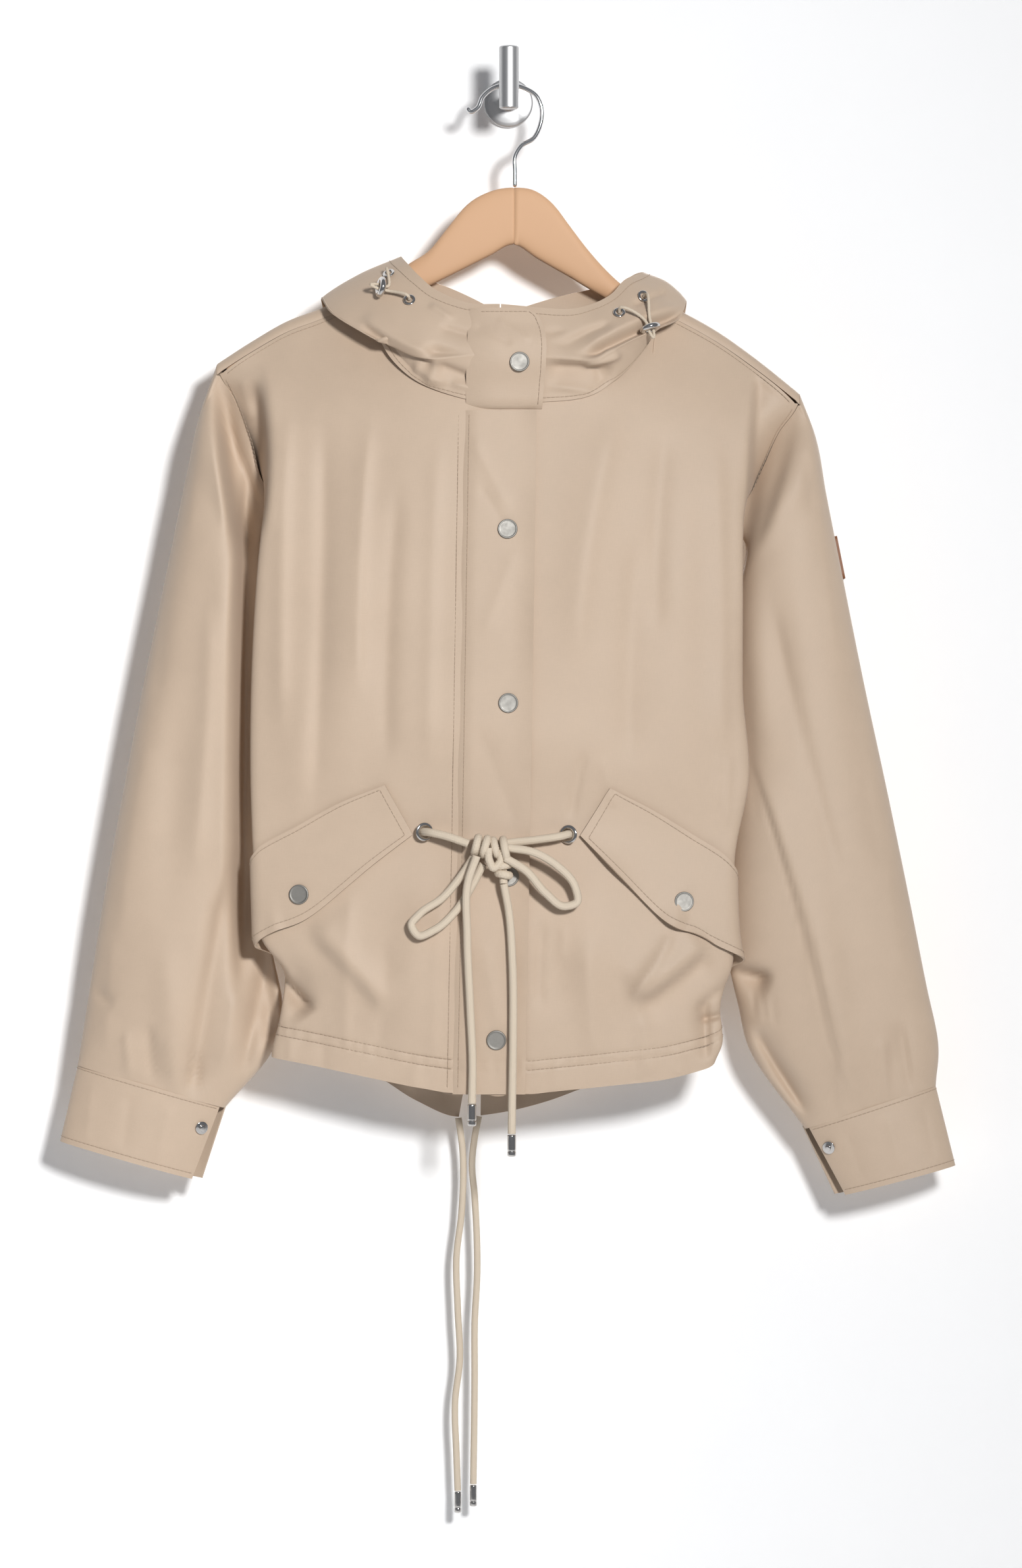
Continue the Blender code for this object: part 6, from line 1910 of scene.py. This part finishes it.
class JACKET_OT_hood(Operator):
    """Make the hood, folded down"""

    bl_idname = "jacket.hood"
    bl_label = "Hood"

    def execute(self, context):
        grid = hood(HOOD_AROUND, np.linspace(0, 1, HOOD_UP + 1))
        inner = grid - normals(grid) * context.scene.jacket_cloth.wall / MM
        cloth("hood", "_cloth", grid, inner, flat_grid(grid), "folded", flip=True)
        return {"FINISHED"}


class JACKET_OT_closing(Operator):
    """Make the placket, the collar tab and the pocket flaps"""

    bl_idname = "jacket.closing"
    bl_label = "Placket, tab and flaps"

    def execute(self, context):
        thick = context.scene.jacket_cloth.strip / MM
        across = np.linspace(-PLACKET_HALF, PLACKET_HALF, PLACKET_CELLS[0] + 1)[None]
        up = np.linspace(*PLACKET_ENDS, PLACKET_CELLS[1] + 1)[:, None]
        grid = placket(across, up)
        inner = grid.copy()
        inner[..., 1] += np.clip(placket_lift(across, up) - 0.25, 0.2, thick)
        uv = flat(np.broadcast_to(across, grid.shape[:2]), up)
        cloth("placket", "_strip", grid, inner, uv)
        share = np.linspace(0, 1, TAB_CELLS[0] + 1)[None]
        grid = tab(share, np.linspace(TAB[0, 0], TAB[-1, 0], TAB_CELLS[1] + 1)[:, None])
        cloth("collar_tab", "_strip", grid, grid + np.array([0, thick, 0]), flat_grid(grid))
        for sign, side in SIDES:
            share = np.linspace(0, 1, FLAP_CELLS[0] + 1)[None]
            drop = np.linspace(0, 1, FLAP_CELLS[1] + 1)[:, None]
            grid = flap(sign, share, drop)
            inner = grid - normals(grid) * sign * thick
            uv = flat(*flap_flat(sign, share, drop))
            cloth("flap_" + side, "_cloth", grid, inner, uv, flip=sign > 0)
        return {"FINISHED"}


class JACKET_OT_metal(Operator):
    """Make snaps, studs, eyelets and cord locks"""

    bl_idname = "jacket.metal"
    bl_label = "Snaps, studs, eyelets and locks"

    def execute(self, context):
        for name, x, z in FRONT_SNAPS:
            snap(name, *front_spot(x, z, PLACKET_LIFT + PLACKET_CLOTH - 0.2))
        for name, x, z in FLAP_SNAPS:
            snap(name, *front_spot(x, z, FLAP_LIFT[1] + PLACKET_CLOTH - 0.4))
        tab_y = look_up(TAB, 1, np.array([TAB_SNAP[1]]))[0]
        snap("snap_neck", (TAB_SNAP[0], tab_y - 0.1, TAB_SNAP[1]), (0, -1, 0.05))
        for sign, side in SIDES:
            grid = cuff(sign, 20, 3)
            out = normals(grid)[STUD_AT] * sign
            rows = lathe(STUD, STUD_STEPS, grid[STUD_AT] + out * STUD_LIFT, out)
            solid("cuff_stud_%s_post" % side, rows, "nickel", "nickel", "cuff_stud_" + side)
        for side, lead, lean in (("left", LEFT_LEAD, EYELET_TILT), ("right", RIGHT_LEAD, -EYELET_TILT)):
            place, out = front_spot(lead[1][0], lead[1][1], EYELET_LIFT)
            grommet("eyelet_waist_" + side, *WAIST_EYELET, place, out + np.array([lean, 0, 0]), EYELET_SQUASH)
        for side, row in (("left", LEFT_LOCK), ("right", RIGHT_LOCK)):
            centre, way, ends = elastic_route(row)[1:]
            for name, end in zip(("upper", "lower"), ends):
                grommet("eyelet_hood_%s_%s" % (side, name), *HOOD_EYELET, *end, EYELET_SQUASH)
            grommet("cord_lock_" + side, *LOCK_RING, centre, way, 1.0)
        return {"FINISHED"}


class JACKET_OT_patch(Operator):
    """Make the plain leather patch on the sleeve"""

    bl_idname = "jacket.patch"
    bl_label = "Sleeve patch"

    def execute(self, context):
        grid = sleeve(1)
        out = normals(grid, True)
        rows = slice(*(int(share * SLEEVE_ALONG) for share in PATCH_ALONG))
        columns = slice(*(int(share * grid.shape[1]) for share in PATCH_ROUND))
        part = grid[rows, columns]
        way = out[rows, columns]
        outer = part + way * (PATCH_THICK + 2 * GAP)
        inner = part + way * 0.1
        wall("sleeve_patch_leather", outer, inner, flat_grid(outer), "leather", "leather", "sleeve_patch",
             flip=True)
        return {"FINISHED"}


class JACKET_OT_sewing(Operator):
    """Sew the visible rows of stitches"""

    bl_idname = "jacket.sewing"
    bl_label = "Sewing"

    def execute(self, context):
        stitch = context.scene.jacket_cloth.stitch / MM
        for name, lines in (
            ("front", front_lines), ("back", back_lines), ("placket", placket_lines), ("flap", flap_lines),
            ("hood", hood_lines), ("cuff", cuff_lines),
        ):
            sewn(name + "_sewing", lines(), stitch)
        return {"FINISHED"}


class JACKET_OT_holder(Operator):
    """Make the wooden hanger, its wire hook and the wall hook"""

    bl_idname = "jacket.holder"
    bl_label = "Hanger and wall hook"

    def execute(self, context):
        solid("hanger_wood", hanger(), "wood", "wood", "hanger")
        route = np.stack([HOOK_ROUTE[:, 0], np.full(len(HOOK_ROUTE), RIDGE_Y), HOOK_ROUTE[:, 1]], axis=1)
        route = path(route, HOOK_STEPS)
        end = np.minimum(np.arange(HOOK_STEPS), np.arange(HOOK_STEPS)[::-1])[:, None] / 3
        radius = HOOK_WIRE / 2 * np.sqrt(1 - (1 - np.clip(end, 0.05, 1)) ** 2)
        solid("hanger_wire", tube(route, radius, 24), "chrome", "chrome", "hanger_hook")
        rows = lathe(PLATE, PLATE_STEPS, (0, 0, 0), (0, -1, 0))
        solid("wall_plate_steel", rows, "steel", "steel", "wall_plate")
        place = (0.5, POST_END - GAP - BAR_RADIUS, 0)
        rows = lathe(BAR, BAR_STEPS, place, (0, 0, 1))
        solid("wall_bar_steel", rows, "steel", "steel", "wall_bar")
        return {"FINISHED"}


class JACKET_OT_stage(Operator):
    """Set up the wall, the floor and the light"""

    bl_idname = "jacket.stage"
    bl_label = "Stage"

    def execute(self, context):
        scene = context.scene
        stage = scene.jacket_stage
        backdrop()
        for name, place, aim, size, power in (
            ("key", KEY_AT, KEY_AIM, KEY_SIZE, stage.key),
            ("front", FRONT_AT, SOFT_AIM, FRONT_SIZE, stage.front),
            ("back", BACK_AT, SOFT_AIM, BACK_SIZE, stage.back),
        ):
            light = bpy.data.lights.new(name, "AREA")
            light.shape = "DISK"
            light.size = size
            light.energy = power
            light.spread = LIGHT_SPREAD
            item = bpy.data.objects.new(name, light)
            item.location = place
            item.rotation_euler = (Vector(aim) - Vector(place)).to_track_quat("-Z", "Y").to_euler()
            item.visible_camera = False
            scene.collection.objects.link(item)
        world = bpy.data.worlds.new("surroundings")
        world.use_nodes = True
        tree = world.node_tree
        fill = tree.nodes["Background"]
        give(tree, fill, Color=SKY, Strength=stage.fill)
        pale = put(tree, "ShaderNodeBackground", Color=PALE)[0]
        ray = put(tree, "ShaderNodeLightPath")["Is Camera Ray"]
        mix = put(tree, "ShaderNodeMixShader", i0=ray, i1=fill.outputs[0], i2=pale)[0]
        give(tree, tree.nodes["World Output"], Surface=mix)
        scene.world = world
        scene.view_settings.view_transform = "Standard"
        return {"FINISHED"}


class JACKET_PT_panel(Panel):
    """Lists the steps and their settings"""

    bl_idname = "JACKET_PT_panel"
    bl_label = "Jacket"
    bl_space_type = "VIEW_3D"
    bl_region_type = "UI"
    bl_category = "Jacket"

    def draw(self, context):
        scene = context.scene
        for group in (scene.jacket_cloth, scene.jacket_cord, scene.jacket_trim, scene.jacket_stage):
            box = self.layout.box()
            for key in group.__annotations__:
                box.prop(group, key)
        for step in STEPS:
            self.layout.operator(step.bl_idname)


GROUPS = {
    "jacket_cloth": JacketCloth,
    "jacket_cord": JacketCord,
    "jacket_trim": JacketTrim,
    "jacket_stage": JacketStage,
}
STEPS = (
    JACKET_OT_finishes, JACKET_OT_camera, JACKET_OT_cords, JACKET_OT_bow, JACKET_OT_body, JACKET_OT_sleeves,
    JACKET_OT_hood, JACKET_OT_closing, JACKET_OT_metal, JACKET_OT_patch, JACKET_OT_sewing, JACKET_OT_holder,
    JACKET_OT_stage,
)


def register():
    """Add the settings, the steps and the panel."""
    for kind in (*GROUPS.values(), *STEPS, JACKET_PT_panel):
        bpy.utils.register_class(kind)
    for name, kind in GROUPS.items():
        setattr(bpy.types.Scene, name, PointerProperty(type=kind))


def unregister():
    """Take the settings, the steps and the panel away."""
    for name in GROUPS:
        delattr(bpy.types.Scene, name)
    for kind in reversed((*GROUPS.values(), *STEPS, JACKET_PT_panel)):
        bpy.utils.unregister_class(kind)


def main():
    """Run every step in order."""
    register()
    for step in STEPS:
        getattr(bpy.ops.jacket, step.bl_idname.split(".")[1])()


if __name__ == "__main__":
    main()
